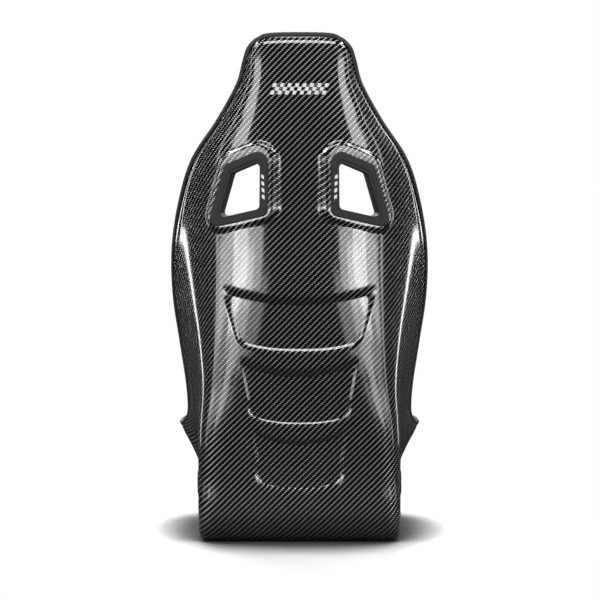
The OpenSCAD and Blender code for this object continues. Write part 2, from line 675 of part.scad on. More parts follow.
shell();
edge_trim();
harness_bezel_rear();  // harness_bezel_rear_left
mirror([1, 0, 0]) harness_bezel_rear();  // harness_bezel_rear_right
harness_bezel_front();  // harness_bezel_front_left
mirror([1, 0, 0]) harness_bezel_front();  // harness_bezel_front_right
lap_belt_grommet();  // lap_belt_grommet_left
mirror([1, 0, 0]) lap_belt_grommet();  // lap_belt_grommet_right
crotch_strap_grommet();
mount_plate();  // mount_plate_left
mirror([1, 0, 0]) mount_plate();  // mount_plate_right
mount_bushes();
head_pad();
upper_back_pad();
mid_back_pad();
lower_back_pad();
pan_pad();
shoulder_bolster();  // shoulder_bolster_left
mirror([1, 0, 0]) shoulder_bolster();  // shoulder_bolster_right
side_bolster();  // side_bolster_left
mirror([1, 0, 0]) side_bolster();  // side_bolster_right
thigh_bolster();  // thigh_bolster_left
mirror([1, 0, 0]) thigh_bolster();  // thigh_bolster_right
base_hook_strips();
lumbar_hook_strips();
head_hook_strips();
base_cushion_cover();
base_cushion_foam();
base_cushion_backing();
lumbar_cushion_cover();
lumbar_cushion_foam();
lumbar_cushion_backing();
head_cushion_cover();
head_cushion_foam();
head_cushion_backing();
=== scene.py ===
"""Looks of the carbon racing bucket seat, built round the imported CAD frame.

The skin of the seat is evaluated from the CAD's own stations, in millimetres, and every visible
piece is laid on it. Millimetres turn into metres where a mesh is made.
"""

import math

import bmesh
import bpy
import numpy as np
from mathutils import Matrix, Vector
from mathutils.kdtree import KDTree


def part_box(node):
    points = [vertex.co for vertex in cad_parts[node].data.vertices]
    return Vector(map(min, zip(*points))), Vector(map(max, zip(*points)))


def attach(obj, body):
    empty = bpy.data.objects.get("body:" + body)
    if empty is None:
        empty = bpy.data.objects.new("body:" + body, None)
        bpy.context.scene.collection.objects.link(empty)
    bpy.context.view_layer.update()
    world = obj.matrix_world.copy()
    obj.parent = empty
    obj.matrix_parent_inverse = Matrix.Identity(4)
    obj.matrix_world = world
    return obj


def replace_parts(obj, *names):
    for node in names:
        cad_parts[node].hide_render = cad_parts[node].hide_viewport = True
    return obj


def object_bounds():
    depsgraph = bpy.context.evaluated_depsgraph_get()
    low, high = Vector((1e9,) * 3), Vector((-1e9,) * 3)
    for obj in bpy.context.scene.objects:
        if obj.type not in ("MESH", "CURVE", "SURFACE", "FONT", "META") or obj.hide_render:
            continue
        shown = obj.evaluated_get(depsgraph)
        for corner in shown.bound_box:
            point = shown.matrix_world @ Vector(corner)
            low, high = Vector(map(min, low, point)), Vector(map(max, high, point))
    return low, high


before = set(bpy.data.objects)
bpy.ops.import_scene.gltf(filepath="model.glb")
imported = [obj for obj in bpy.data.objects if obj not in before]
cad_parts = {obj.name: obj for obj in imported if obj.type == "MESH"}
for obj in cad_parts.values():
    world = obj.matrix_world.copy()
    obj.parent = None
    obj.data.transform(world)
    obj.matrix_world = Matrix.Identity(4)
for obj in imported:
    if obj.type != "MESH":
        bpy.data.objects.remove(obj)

CAD_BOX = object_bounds()
MM = 0.001
BODY = "seat"

# ---- driving sizes, as in the CAD, in millimetres ----
HEIGHT, HIP_Z, LEAN = 930, 210, 84
FRONT, REAR, WING, THIGH = 278, 171, 166, 207
HEAD, SHOULDER, WAIST, HIP, BASE = 101, 240, 214, 234, 189
WALL, GAP = 4, 0.5
LINER, BACK_FOAM, BOLSTER_FOAM = 8, 16, 24
HIP_Y = REAR + 21
HALF_COLS = 16


def mix(a, b, k):
    return a + (b - a) * k


def back(up, lean, reach, drop, turn_half, edge_half, turn, crown, upright):
    """A station of the backrest: centre point, wing edge point, half widths, turn, crown, flank."""
    y = HIP_Y + LEAN * lean
    z = mix(HIP_Z, HEIGHT, up)
    return (y, z, y - WING * reach, z - drop, turn_half, edge_half, turn, crown, upright, 0.5)


def pan(y, z, edge_y, edge_z, turn_half, edge_half, turn, upright, flat):
    """A station of the pan."""
    return (y, z, edge_y, edge_z, turn_half, edge_half, turn, 0, upright, flat)


NECK = HEAD - 21
STATIONS = np.array([
    back(1.000, 0.93, 0.04, 11, HEAD - 43, HEAD - 21, 60, 0, 0),
    back(0.983, 0.98, 0.10, 13, HEAD - 35, HEAD - 8, 70, 0, 0),
    back(0.951, 1.00, 0.16, 13, HEAD - 29, HEAD, 80, 0, 0),
    back(0.889, 1.00, 0.24, 8, NECK, HEAD + 12, 95, 0, 0),
    back(0.806, 0.95, 0.35, 10, mix(NECK, BASE, 0.17), mix(HEAD, SHOULDER, 0.345), 110, 2, 0),
    back(0.715, 0.87, 0.49, 13, mix(NECK, BASE, 0.43), mix(HEAD, SHOULDER, 0.685), 120, 4, 0),
    back(0.618, 0.76, 0.65, 15, mix(NECK, BASE, 0.58), mix(HEAD, SHOULDER, 0.87), 130, 6, 0),
    back(0.500, 0.63, 0.87, 18, mix(NECK, BASE, 0.71), SHOULDER - 1, 140, 7, 0),
    back(0.375, 0.48, 1.00, 18, mix(NECK, BASE, 0.80), SHOULDER, 140, 7, 0),
    back(0.250, 0.31, 1.00, 18, mix(NECK, BASE, 0.86), mix(WAIST, SHOULDER, 0.54), 120, 6, 0.1),
    back(0.125, 0.14, 0.94, 8, BASE - 9, mix(WAIST, SHOULDER, 0.08), 95, 5, 0.4),
    back(0.000, 0.00, 1.00, -26, BASE, WAIST, 70, 3, 0.8),
    pan(REAR + 10, HIP_Z - 90, REAR - 183, THIGH + 5, BASE, mix(WAIST, HIP, 0.55), 55, 1, 0.6),
    pan(REAR, 40, REAR - 225, THIGH - 1, BASE, HIP, 38, 1, 0.6),
    pan(REAR - 31, 0, REAR - 261, THIGH - 1, BASE, HIP + 2, 30, 1, 0.57),
    pan(REAR - 113, 0, REAR - 297, THIGH, BASE, HIP, 30, 1, 0.47),
    pan(-0.15 * FRONT, 0, -0.60 * FRONT, THIGH, BASE, HIP - 5, 32, 1, 0.44),
    pan(-0.52 * FRONT, 0, -0.74 * FRONT, THIGH - 4, BASE, HIP - 11, 40, 1, 0.45),
    pan(-0.75 * FRONT, 16, -0.835 * FRONT, THIGH - 17, BASE, HIP - 18, 40, 1, 0.45),
    pan(-0.925 * FRONT, 64, -0.905 * FRONT, THIGH - 44, BASE - 11, HIP - 31, 50, 0.7, 0.3),
    pan(-FRONT, 114, -0.955 * FRONT, THIGH - 76, BASE - 27, HIP - 52, 60, 0.3, 0.3),
])
LAST = len(STATIONS) - 1


# ---- the skin ----
def station(s):
    """A smooth curve through the stations, read at station numbers s."""
    i = np.clip(np.floor(s).astype(int), 0, LAST - 1)
    t = (s - i)[:, None]
    a, b = STATIONS[i], STATIONS[i + 1]
    before, after = STATIONS[np.maximum(i - 1, 0)], STATIONS[np.minimum(i + 2, LAST)]
    slope_a = np.where(i[:, None] > 0, (b - before) / 2, b - a)
    slope_b = np.where(i[:, None] < LAST - 1, (after - a) / 2, b - a)
    return ((2 * t**3 - 3 * t**2 + 1) * a + (t**3 - 2 * t**2 + t) * slope_a
            + (3 * t**2 - 2 * t**3) * b + (t**3 - t**2) * slope_b)


def wing_point(st, depth, q):
    """Where the flank stands at the share q of its depth."""
    turn_half, edge_half, upright, flat = st[:, 4], st[:, 5], st[:, 8], st[:, 9]
    v = np.maximum(0, (q - flat) / (1 - flat))
    share = mix(q, 0.4 * v + 0.6 * v * v * (3 - 2 * v), upright)
    return turn_half + (edge_half - turn_half) * share, q * depth


def section(st, depth, u):
    """Half a section, from u 0 at the middle to 1 at the edge: out from the middle, forward."""
    turn_half, edge_half, turn, upright = st[:, 4], st[:, 5], st[:, 6], st[:, 8]
    run = (edge_half - turn_half) * (1 - upright)
    length = np.hypot(run, depth)
    back_turn = np.minimum(turn, 0.95 * turn_half)
    wing_turn = np.minimum(turn, 0.9 * depth)
    q_end = wing_turn / length
    end_x, end_y = wing_point(st, depth, q_end)
    lead_x, lead_y = run / length * wing_turn / 2, depth / length * wing_turn / 2
    back_len = turn_half - back_turn
    turn_len = 0.9 * (back_turn + wing_turn)
    whole = back_len + turn_len + (1 - q_end) * depth
    a, b = back_len / whole, (back_len + turn_len) / whole
    t = np.clip((u - a) / (b - a), 0, 1)
    r = 1 - t
    turn_x = (r**4 * back_len + 4 * t * r**3 * (back_len + back_turn / 2)
              + 6 * t**2 * r**2 * turn_half + 4 * t**3 * r * (turn_half + lead_x) + t**4 * end_x)
    turn_y = 4 * t**3 * r * lead_y + t**4 * end_y
    far_x, far_y = wing_point(st, depth, q_end + (1 - q_end) * np.clip((u - b) / (1 - b), 0, 1))
    x = np.where(u <= a, u / a * back_len, np.where(u <= b, turn_x, far_x))
    y = np.where(u <= a, 0, np.where(u <= b, turn_y, far_y))
    return x, y


def skin_at(s, u):
    st = station(s)
    y, z = st[:, 0], np.maximum(st[:, 1], 0)
    span_y, span_z = st[:, 2] - y, st[:, 3] - z
    depth = np.hypot(span_y, span_z)
    out, ahead = section(st, depth, np.abs(u))
    side = np.minimum(out / st[:, 4], 1)
    ahead = ahead - st[:, 7] * (1 - side**2)
    return np.stack([np.sign(u) * out, y + span_y / depth * ahead, z + span_z / depth * ahead], 1)


def unit(v):
    return v / np.maximum(np.linalg.norm(v, axis=-1, keepdims=True), 1e-9)


def skin(s, u):
    """Points of the outer skin and the normals that point into the seat."""
    s, u = np.broadcast_arrays(np.asarray(s, float), np.asarray(u, float))
    shape, s, u = s.shape, s.ravel(), u.ravel()
    step = 0.03
    at_s, at_u = np.clip(s, 2 * step, LAST - 0.3), np.clip(u, 2 * step - 1, 1 - 2 * step)
    down = skin_at(at_s + step, at_u) - skin_at(at_s - step, at_u)
    across = skin_at(at_s, at_u + step) - skin_at(at_s, at_u - step)
    inward = unit(np.cross(down, across))
    return skin_at(s, u).reshape(shape + (3,)), inward.reshape(shape + (3,))


BACK_S, BACK_U = np.linspace(0, 13, 261), np.linspace(0, 1, 121)
BACK_POINTS, _ = skin(BACK_S[:, None], BACK_U[None, :])


def skin_y(x, z):
    """The skin's depth at a place on the back."""
    rows = [(np.interp(abs(x), p[:, 0], p[:, 2]), np.interp(abs(x), p[:, 0], p[:, 1]))
            for p in BACK_POINTS if p[-1, 0] > abs(x)]
    zs, ys = np.array(rows[::-1]).T
    return float(np.interp(z, zs, ys))


def on_back(x, z, lift=0.0):
    """A point over the back of the seat, and the direction out of it."""
    d = 6.0
    slope_x = (skin_y(x + d, z) - skin_y(x - d, z)) / (2 * d)
    slope_z = (skin_y(x, z + d) - skin_y(x, z - d)) / (2 * d)
    out = unit(np.array([-slope_x, 1, -slope_z]))
    return np.array([x, skin_y(x, z), z]) + out * lift, out


# ---- outlines ----
def edge_normals(pts):
    d = unit(np.roll(pts, -1, 0) - pts)
    return np.stack([d[:, 1], -d[:, 0]], 1)


def grown(pts, widths):
    """The outline with each edge moved outwards by its own width."""
    pts = np.array(pts, float)
    n2 = edge_normals(pts)
    n1 = np.roll(n2, 1, 0)
    w2 = np.broadcast_to(np.asarray(widths, float), len(pts))
    e1 = np.roll(w2, 1) + (n1 * pts).sum(1)
    e2 = w2 + (n2 * pts).sum(1)
    det = n1[:, 0] * n2[:, 1] - n1[:, 1] * n2[:, 0]
    return np.stack([(e1 * n2[:, 1] - e2 * n1[:, 1]) / det, (n1[:, 0] * e2 - n2[:, 0] * e1) / det], 1)


def rounded(pts, radii, steps=8):
    """The outline with round corners."""
    pts = np.array(pts, float)
    out = []
    for k, radius in enumerate(np.broadcast_to(radii, len(pts))):
        p = pts[k]
        a, b = unit(pts[k - 1] - p), unit(pts[(k + 1) % len(pts)] - p)
        half = math.acos(float(a @ b)) / 2
        centre = p + unit(a + b) * radius / math.sin(half)
        x, y = p + a * radius / math.tan(half) - centre
        for g in np.linspace(0, math.pi - 2 * half, steps + 1):
            out.append(centre + [x * math.cos(g) - y * math.sin(g), x * math.sin(g) + y * math.cos(g)])
    return np.array(out)


def inside_distance(pts, x, y):
    """Distance inside a closed outline, negative outside it."""
    best = np.full(x.shape, 1e9)
    inside = np.zeros(x.shape, bool)
    for a, b in zip(pts, np.roll(pts, -1, 0)):
        e = b - a
        t = np.clip(((x - a[0]) * e[0] + (y - a[1]) * e[1]) / (e @ e), 0, 1)
        best = np.minimum(best, np.hypot(x - a[0] - t * e[0], y - a[1] - t * e[1]))
        crosses = (a[1] > y) != (b[1] > y)
        inside ^= crosses & (x < a[0] + (y - a[1]) * e[0] / (e[1] if e[1] else 1e-9))
    return np.where(inside, best, -best)


def box_outline(w, h):
    return np.array([[-w, -h], [w, -h], [w, h], [-w, h]]) / 2


def ramp(t, soft=0.2):
    """0 before 0 and 1 after 1, straight between with short round ends."""
    t = np.clip(t, 0, 1)
    mid = t - soft / 2
    return np.where(t < soft, t**2 / (2 * soft), np.where(
        t > 1 - soft, 1 - soft - (1 - t)**2 / (2 * soft), mid)) / (1 - soft)


# ---- meshes ----
def make(name, verts, faces, material, smooth=True, sharp=50, body=BODY):
    """An object from points in millimetres."""
    mesh = bpy.data.meshes.new(name)
    mesh.from_pydata((np.asarray(verts) * MM).tolist(), [], [list(map(int, f)) for f in faces])
    mesh.validate()
    bm = bmesh.new()
    bm.from_mesh(mesh)
    bmesh.ops.recalc_face_normals(bm, faces=bm.faces)
    bm.to_mesh(mesh)
    bm.free()
    mesh.materials.append(material)
    if smooth:
        mesh.shade_smooth()
        mesh.set_sharp_from_angle(angle=math.radians(sharp))
    obj = bpy.data.objects.new(name, mesh)
    bpy.context.scene.collection.objects.link(obj)
    if body:
        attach(obj, body)
    return obj


def grid_faces(m, n, start=0, wrap=False):
    """Quads between the rows of a grid of m by n points."""
    i, j = np.meshgrid(np.arange(m - 1), np.arange(n if wrap else n - 1), indexing="ij")
    k = (j + 1) % n
    quads = [i * n + j, i * n + k, (i + 1) * n + k, (i + 1) * n + j]
    return np.stack(quads, -1).reshape(-1, 4) + start


def closed_solid(outer, inner):
    """Points and faces of the closed solid between two grids of one size."""
    m, n = outer.shape[:2]
    size = m * n
    rim = [j for j in range(n)] + [i * n + n - 1 for i in range(1, m)]
    rim += [(m - 1) * n + j for j in range(n - 2, -1, -1)] + [i * n for i in range(m - 2, 0, -1)]
    rim = np.array(rim)
    after = np.roll(rim, -1)
    walls = np.stack([rim, after, after + size, rim + size], 1)
    faces = np.concatenate([grid_faces(m, n), grid_faces(m, n, size)[:, ::-1], walls])
    return np.concatenate([outer.reshape(-1, 3), inner.reshape(-1, 3)]), faces


def sweep(rings):
    """Points and faces of a closed ring: rings[k] is the closed profile at station k."""
    rings = np.asarray(rings)
    m, n = rings.shape[:2]
    i, j = np.meshgrid(np.arange(m), np.arange(n), indexing="ij")
    a, b = (i + 1) % m, (j + 1) % n
    quads = np.stack([i * n + j, i * n + b, a * n + b, a * n + j], -1).reshape(-1, 4)
    return rings.reshape(-1, 3), quads


def prism(outline, place, low, high):
    """Points and faces of a prism over an outline, put in place by a function."""
    n = len(outline)
    pts = [place(outline[:, 0], outline[:, 1], np.full(n, d)) for d in (low, high)]
    faces = [tuple(range(n)), tuple(range(2 * n - 1, n - 1, -1))]
    faces += [(k, (k + 1) % n, n + (k + 1) % n, n + k) for k in range(n)]
    return np.concatenate(pts), faces


def cut(obj, cutters):
    """Takes prisms, each points and faces, out of a closed mesh."""
    for verts, faces in cutters:
        tool = make("cutter", verts, faces, obj.data.materials[0], smooth=False, body=None)
        mod = obj.modifiers.new("cut", "BOOLEAN")
        mod.operation = "DIFFERENCE"
        mod.solver = "EXACT"
        mod.object = tool
        apply(obj)
        bpy.data.objects.remove(tool)
    obj.data.set_sharp_from_angle(angle=math.radians(50))


def apply(obj):
    """Applies every modifier of an object to its mesh."""
    whole = bpy.context.evaluated_depsgraph_get()
    mesh = bpy.data.meshes.new_from_object(obj.evaluated_get(whole))
    obj.modifiers.clear()
    obj.data = mesh


def mirrored(pts):
    return pts * np.array([-1, 1, 1])


# ---- material nodes ----
class Shader:
    """A Principled material and short ways to wire its procedural nodes."""

    def __init__(self, name, **sockets):
        self.material = bpy.data.materials.new(name)
        self.material.use_nodes = True
        self.tree = self.material.node_tree
        self.bsdf = self.tree.nodes["Principled BSDF"]
        for key, value in sockets.items():
            label = key.replace("_", " ").title().replace("Ior", "IOR")
            self.bsdf.inputs[label].default_value = value
        self.height = None

    def node(self, kind, inputs=(), **settings):
        new = self.tree.nodes.new(kind)
        for key, value in settings.items():
            setattr(new, key, value)
        for key, value in dict(inputs).items():
            self.put(new.inputs[key], value)
        return new

    def put(self, socket, value):
        if isinstance(value, bpy.types.NodeSocket):
            self.tree.links.new(value, socket)
        else:
            socket.default_value = value

    def math(self, operation, *values):
        new = self.tree.nodes.new("ShaderNodeMath")
        new.operation = operation
        for socket, value in zip(new.inputs, values):
            self.put(socket, value)
        return new.outputs[0]

    def place(self, scale=(1, 1, 1)):
        """Object coordinates in metres times a scale."""
        coord = self.node("ShaderNodeTexCoord")
        return self.node("ShaderNodeMapping", {"Vector": coord.outputs["Object"], "Scale": scale}).outputs[0]

    def noise(self, scale, detail=2.0, rough=0.5, stretch=(1, 1, 1)):
        made = self.node("ShaderNodeTexNoise", {
            "Vector": self.place(stretch), "Scale": scale, "Detail": detail, "Roughness": rough})
        return made.outputs["Fac"]

    def cells(self, scale):
        made = self.node("ShaderNodeTexVoronoi", {"Vector": self.place(), "Scale": scale})
        return made.outputs["Distance"]

    def between(self, factor, low, high, start=0.0, end=1.0):
        """A number that goes from low to high as factor goes from start to end."""
        made = self.node("ShaderNodeMapRange", {
            "Value": factor, "From Min": start, "From Max": end, "To Min": low, "To Max": high})
        return made.outputs[0]

    def blend(self, factor, dark, light):
        made = self.node("ShaderNodeMix", data_type="RGBA")
        self.put(made.inputs["Factor"], factor)
        self.put(made.inputs[6], (*dark, 1))
        self.put(made.inputs[7], (*light, 1))
        return made.outputs[2]

    def colour(self, socket):
        self.put(self.bsdf.inputs["Base Color"], socket)

    def rough(self, factor, low, high, start=0.3, end=0.7):
        self.put(self.bsdf.inputs["Roughness"], self.between(factor, low, high, start, end))

    def bump(self, height, distance, strength=1.0):
        """Raises the surface by the height, 0 to 1, times a distance in metres."""
        last = self.bsdf.inputs["Normal"].links
        inputs = {"Height": height, "Distance": distance, "Strength": strength}
        if last:
            inputs["Normal"] = last[0].from_socket
        made = self.node("ShaderNodeBump", inputs)
        self.put(self.bsdf.inputs["Normal"], made.outputs[0])


TOW = 2.75 * MM


def carbon_laminate():
    """2x2 twill under a clear coat. The weave follows the skin by its own UV lengths."""
    m = Shader("carbon_laminate", coat_weight=1.0, coat_roughness=0.09, coat_ior=1.8, metallic=1.0)
    uv = m.node("ShaderNodeUVMap", uv_map="weave")
    split = m.node("ShaderNodeSeparateXYZ", {"Vector": uv.outputs[0]})
    sway = m.between(m.noise(9.0), -0.35, 0.35)
    x = m.math("ADD", m.math("DIVIDE", split.outputs[0], TOW), sway)
    y = m.math("ADD", m.math("DIVIDE", split.outputs[1], TOW), sway)
    column, row = m.math("FLOOR", x), m.math("FLOOR", y)
    over = m.math("FLOORED_MODULO", m.math("ADD", y, column), 4.0)
    under = m.math("FLOORED_MODULO", m.math("ADD", x, row), 4.0)
    warp_up = m.math("LESS_THAN", m.math("FLOORED_MODULO", m.math("ADD", column, row), 4.0), 2.0)

    def tow(along, across):
        """A float of one tow: arched along its two cells and round across."""
        arch = m.math("ABSOLUTE", m.math("SINE", m.math("MULTIPLY", along, math.pi / 2)))
        side = m.math("ABSOLUTE", m.math("SUBTRACT", m.math("FRACT", across), 0.5))
        flank = m.math("SUBTRACT", 1.0, m.math("MULTIPLY", m.math("POWER", side, 2.0), 3.4))
        return m.math("MULTIPLY", arch, flank)

    warp, weft = tow(over, x), tow(m.math("SUBTRACT", under, 2.0), y)
    height = m.node("ShaderNodeMix", data_type="FLOAT")
    m.put(height.inputs[0], warp_up)
    m.put(height.inputs[2], weft)
    m.put(height.inputs[3], warp)
    raised = height.outputs[0]
    fibres = m.node("ShaderNodeTexNoise", {"Vector": uv.outputs[0], "Scale": 2600.0, "Detail": 1.0})
    # Painted glint: the weft floats are coloured bright and the warp floats near black, though both are the
    # same black fibre, so the weft always reads as the lit, glinting set. The fibre streaks and patches on
    # top are random tone.
    lit = m.math("MULTIPLY", m.math("SUBTRACT", 1.0, warp_up), m.between(weft, 0.0, 1.0, 0.3, 0.95))
    tone = m.math("MULTIPLY", lit, m.between(fibres.outputs["Fac"], 0.75, 1.1, 0.3, 0.7))
    patch = m.math("MULTIPLY", tone, m.between(m.noise(4.0, 3.0), 0.8, 1.15, 0.3, 0.7))
    m.colour(m.blend(patch, (0.001, 0.001, 0.0012), (0.68, 0.685, 0.7)))
    m.rough(raised, 0.6, 0.36, 0.2, 1.0)
    m.bump(raised, 0.0004, 1.0)
    return m.material


def rubber(name, dark, light, grain, rough):
    """Matte moulded rubber with a fine grain and a slightly greyer bloom."""
    m = Shader(name, coat_weight=0.0, specular_ior_level=0.35)
    bloom = m.noise(38.0, 4.0, 0.6)
    m.colour(m.blend(m.between(bloom, 0, 1, 0.3, 0.7), dark, light))
    m.rough(bloom, rough, rough + 0.14)
    m.bump(m.cells(grain), 0.00009, 0.6)
    m.bump(m.noise(grain * 0.6, 2.0), 0.00012, 0.5)
    return m.material


def brushed(name, tone, stretch, rough):
    """Machined metal: fine lines along one axis and light handling marks."""
    m = Shader(name, metallic=1.0, anisotropic=0.4)
    lines = m.noise(60.0, 3.0, 0.6, stretch)
    m.colour(m.blend(lines, tuple(t * 0.78 for t in tone), tone))
    m.rough(m.noise(25.0, 4.0), rough, rough + 0.16)
    m.bump(lines, 0.00006, 0.5)
    return m.material


def woven(name, dark, light, thread, sheen, soft=0.5):
    """A textile: a lattice of threads that reads as a weave from any side."""
    m = Shader(name, sheen_weight=sheen, sheen_roughness=0.4, specular_ior_level=0.25)
    split = m.node("ShaderNodeSeparateXYZ", {"Vector": m.place()})
    pitch = math.pi / thread
    waves = [m.math("SINE", m.math("MULTIPLY", axis, pitch)) for axis in split.outputs]
    pairs = [m.math("MULTIPLY", waves[a], waves[b]) for a, b in ((0, 1), (1, 2), (0, 2))]
    lattice = m.math("ADD", m.math("ADD", pairs[0], pairs[1]), pairs[2])
    weave = m.between(lattice, 0, 1, -1.0, 1.6)
    fuzz = m.noise(900.0, 3.0, 0.7)
    fade = m.noise(11.0, 4.0, 0.6)
    tone = m.math("ADD", m.math("MULTIPLY", weave, soft), m.math("MULTIPLY", fade, 1 - soft))
    m.colour(m.blend(m.math("MULTIPLY", tone, m.between(fuzz, 0.7, 1.2, 0.3, 0.7)), dark, light))
    m.rough(fade, 0.78, 0.94)
    m.bump(weave, 0.0004, 0.7)
    m.bump(fuzz, 0.00018, 0.6)
    return m.material


def suede(name, dark, light):
    """Brushed microfibre: soft blotches of nap over a fine grain."""
    m = Shader(name, sheen_weight=0.6, sheen_roughness=0.35, specular_ior_level=0.2)
    nap = m.noise(26.0, 5.0, 0.62)
    grain = m.noise(1500.0, 2.0, 0.6)
    m.colour(m.blend(m.math("MULTIPLY", m.between(nap, 0.2, 1.0, 0.35, 0.65), grain), dark, light))
    m.rough(nap, 0.8, 0.95)
    m.bump(grain, 0.00022, 0.7)
    m.bump(nap, 0.0006, 0.25)
    return m.material


def hooks(name):
    """Hook tape: rows of tiny bristles."""
    m = Shader(name, sheen_weight=0.3, specular_ior_level=0.3)
    dots = m.cells(620.0)
    m.colour(m.blend(m.between(dots, 1, 0, 0.0, 0.5), (0.006, 0.006, 0.007), (0.05, 0.05, 0.055)))
    m.rough(m.noise(60.0), 0.6, 0.8)
    m.bump(m.between(dots, 1, 0, 0.0, 0.5), 0.0009, 1.0)
    return m.material


def paint(name, tone):
    """Screen-printed ink with a faint orange peel."""
    m = Shader(name, coat_weight=0.5, coat_roughness=0.12)
    mottle = m.noise(160.0, 3.0)
    m.colour(m.blend(mottle, tuple(t * 0.9 for t in tone), tone))
    m.rough(mottle, 0.28, 0.4)
    m.bump(mottle, 0.00004, 0.5)
    return m.material


MAT = {
    "carbon": carbon_laminate(),
    "trim": rubber("edge_rubber_grain", (0.012, 0.012, 0.0125), (0.026, 0.026, 0.027), 900.0, 0.45),
    "bezel": rubber("bezel_rubber_grain", (0.011, 0.0112, 0.012), (0.022, 0.0225, 0.024), 1100.0, 0.5),
    "plate": brushed("plate_brushed", (0.62, 0.63, 0.65), (1, 30, 30), 0.3),
    "steel": brushed("bush_turned", (0.56, 0.57, 0.6), (30, 1, 30), 0.2),
    "pad": woven("pad_knit", (0.008, 0.008, 0.009), (0.075, 0.077, 0.083), 1.5 * MM, 0.25),
    "cushion": woven("cushion_knit", (0.012, 0.012, 0.014), (0.11, 0.113, 0.122), 1.7 * MM, 0.35),
    "bolster": suede("bolster_suede", (0.014, 0.014, 0.015), (0.115, 0.117, 0.124)),
    "lining": woven("backing_weave", (0.015, 0.015, 0.017), (0.09, 0.092, 0.098), 1.1 * MM, 0.1, 0.7),
    "hooks": hooks("hook_bristles"),
    "thread": woven("sewing_thread", (0.12, 0.12, 0.13), (0.34, 0.35, 0.37), 0.4 * MM, 0.2, 0.7),
    "piping": suede("piping_cord", (0.01, 0.01, 0.011), (0.075, 0.077, 0.083)),
    "white": paint("white_ink", (0.82, 0.82, 0.8)),
}

# ---- shoulder-belt openings ----
SLOT_X, SLOT_Z, BOSS = 102, HEIGHT - 282, 4
SLOT = np.array([[-32, -31], [46, -47], [19, 32], [-36, 53]], float)
SLOT_RADII = np.array([9, 7, 7, 7])
BEZEL_BARS = np.array([15, 17, 20, 15])
BEZEL_RADII = np.array([13, 14, 18, 20])
BEZEL_CORNERS = grown(SLOT, BEZEL_BARS)
BEZEL = rounded(BEZEL_CORNERS, BEZEL_RADII)
SLOT_EDGE = rounded(SLOT, SLOT_RADII)
COLLAR = 2.5
SLOT_HOLE = rounded(grown(SLOT, COLLAR + GAP), SLOT_RADII + COLLAR + GAP)
PAD_HOLE = rounded(grown(BEZEL_CORNERS, 1.5), BEZEL_RADII + 1.5)
PAD_BACK = BOSS + WALL + GAP
BEZEL_SEAT = PAD_BACK + BACK_FOAM - 2
COLLAR_MEET = BOSS + WALL + 6
PROBE = 45
SLOT_Y = skin_y(SLOT_X, SLOT_Z)
YAW = math.atan((skin_y(SLOT_X + PROBE, SLOT_Z) - skin_y(SLOT_X - PROBE, SLOT_Z)) / (2 * PROBE))
PITCH = math.atan((skin_y(SLOT_X, SLOT_Z + PROBE) - skin_y(SLOT_X, SLOT_Z - PROBE)) / (2 * PROBE))
SLOT_TURN = np.array(Matrix.Rotation(YAW, 3, "Z") @ Matrix.Rotation(math.pi / 2 - PITCH, 3, "X"))
SLOT_AT = np.array([SLOT_X, SLOT_Y, SLOT_Z]) - SLOT_TURN[:, 2] * BOSS


def in_slot_frame(x, y, z):
    """Places points over the left opening: x out, y up, z forward from the boss face."""
    return np.stack([x, y, z], -1) @ SLOT_TURN.T + SLOT_AT


def right_slot_frame(x, y, z):
    return mirrored(in_slot_frame(x, y, z))


# ---- the shell ----
# Pressed hollows down the back: start height and foot height in the middle, half width at the
# start and at the foot, rise of the foot's corners, depth, width of the wall that leads out,
# and length of the slope that leads in.
HOLLOWS = (
    (460, 353, 140, 113, 16, 11.5, 18, 36),
    (328, 219, 107, 88, 13, 11, 15, 36),
    (196, 98, 87, 72, 11, 11, 14, 32),
)
HOLLOW_CORNER = 32
JOGGLE_RISE, JOGGLE_WIDTH = 1.8, 4.0


def hollow_depth(x, z, hollow):
    """How far a hollow is pressed in at a place on the back."""
    start, foot, half_top, half_foot, corner_rise, depth, wall, lead = hollow
    arc = [(half_foot * k, foot + corner_rise * abs(k)**2.6) for k in np.linspace(-1, 1, 13)]
    slope = (half_top - half_foot) / (start - foot - corner_rise)
    top = start + 60
    half_above = half_foot + slope * (top - foot - corner_rise)
    outline = np.array(arc + [(half_above, top), (-half_above, top)])
    inner = grown(outline, -HOLLOW_CORNER)
    distance = inside_distance(inner, x, z) + HOLLOW_CORNER
    arched = start + 22 * np.minimum(np.abs(x) / half_top, 1)**2
    return depth * ramp((arched - z) / lead, 0.16) * ramp(distance / wall, 0.34)


def shell_rows():
    """Station numbers of the shell's rows, closer where the slots and hollows are."""
    counts = [6, 8, 11, 13, 22, 26, 27, 24, 24, 24, 24, 24, 14, 8, 7, 6, 5, 5, 5, 5]
    return np.array([k + n / c for k, c in enumerate(counts) for n in range(c)] + [LAST])


def shell_columns(half=84):
    """Column places across, closer where the slots are."""
    t = np.linspace(0, 1, 400)
    density = 1 + 1.1 * np.exp(-((t - 0.4) / 0.17)**4)
    total = np.concatenate([[0], np.cumsum((density[1:] + density[:-1]) / 2)])
    u = np.interp(np.linspace(0, total[-1], half + 1), total, t)
    return np.concatenate([-u[:0:-1], u])


BOSS_EDGE = rounded(grown(BEZEL_CORNERS, [4, 6, 11, 9]), BEZEL_RADII + 8)


def boss_lift(points):
    """The skin's shift out to the flat boss round each opening, and each point's share in it."""
    shift = np.zeros_like(points)
    flat = np.zeros(points.shape[:2])
    for side in (1, -1):
        own = (points * [side, 1, 1] - SLOT_AT) @ SLOT_TURN
        inside = inside_distance(BOSS_EDGE, own[..., 0], own[..., 1])
        near = (points[..., 0] * side > 20) & (np.abs(points[..., 2] - SLOT_Z) < 130)
        share = np.where(near, ramp(1 + inside / 10, 0.3), 0)
        out = own[..., 2] * share
        shift -= out[..., None] * SLOT_TURN[:, 2] * [side, 1, 1]
        flat += share
    return shift, flat


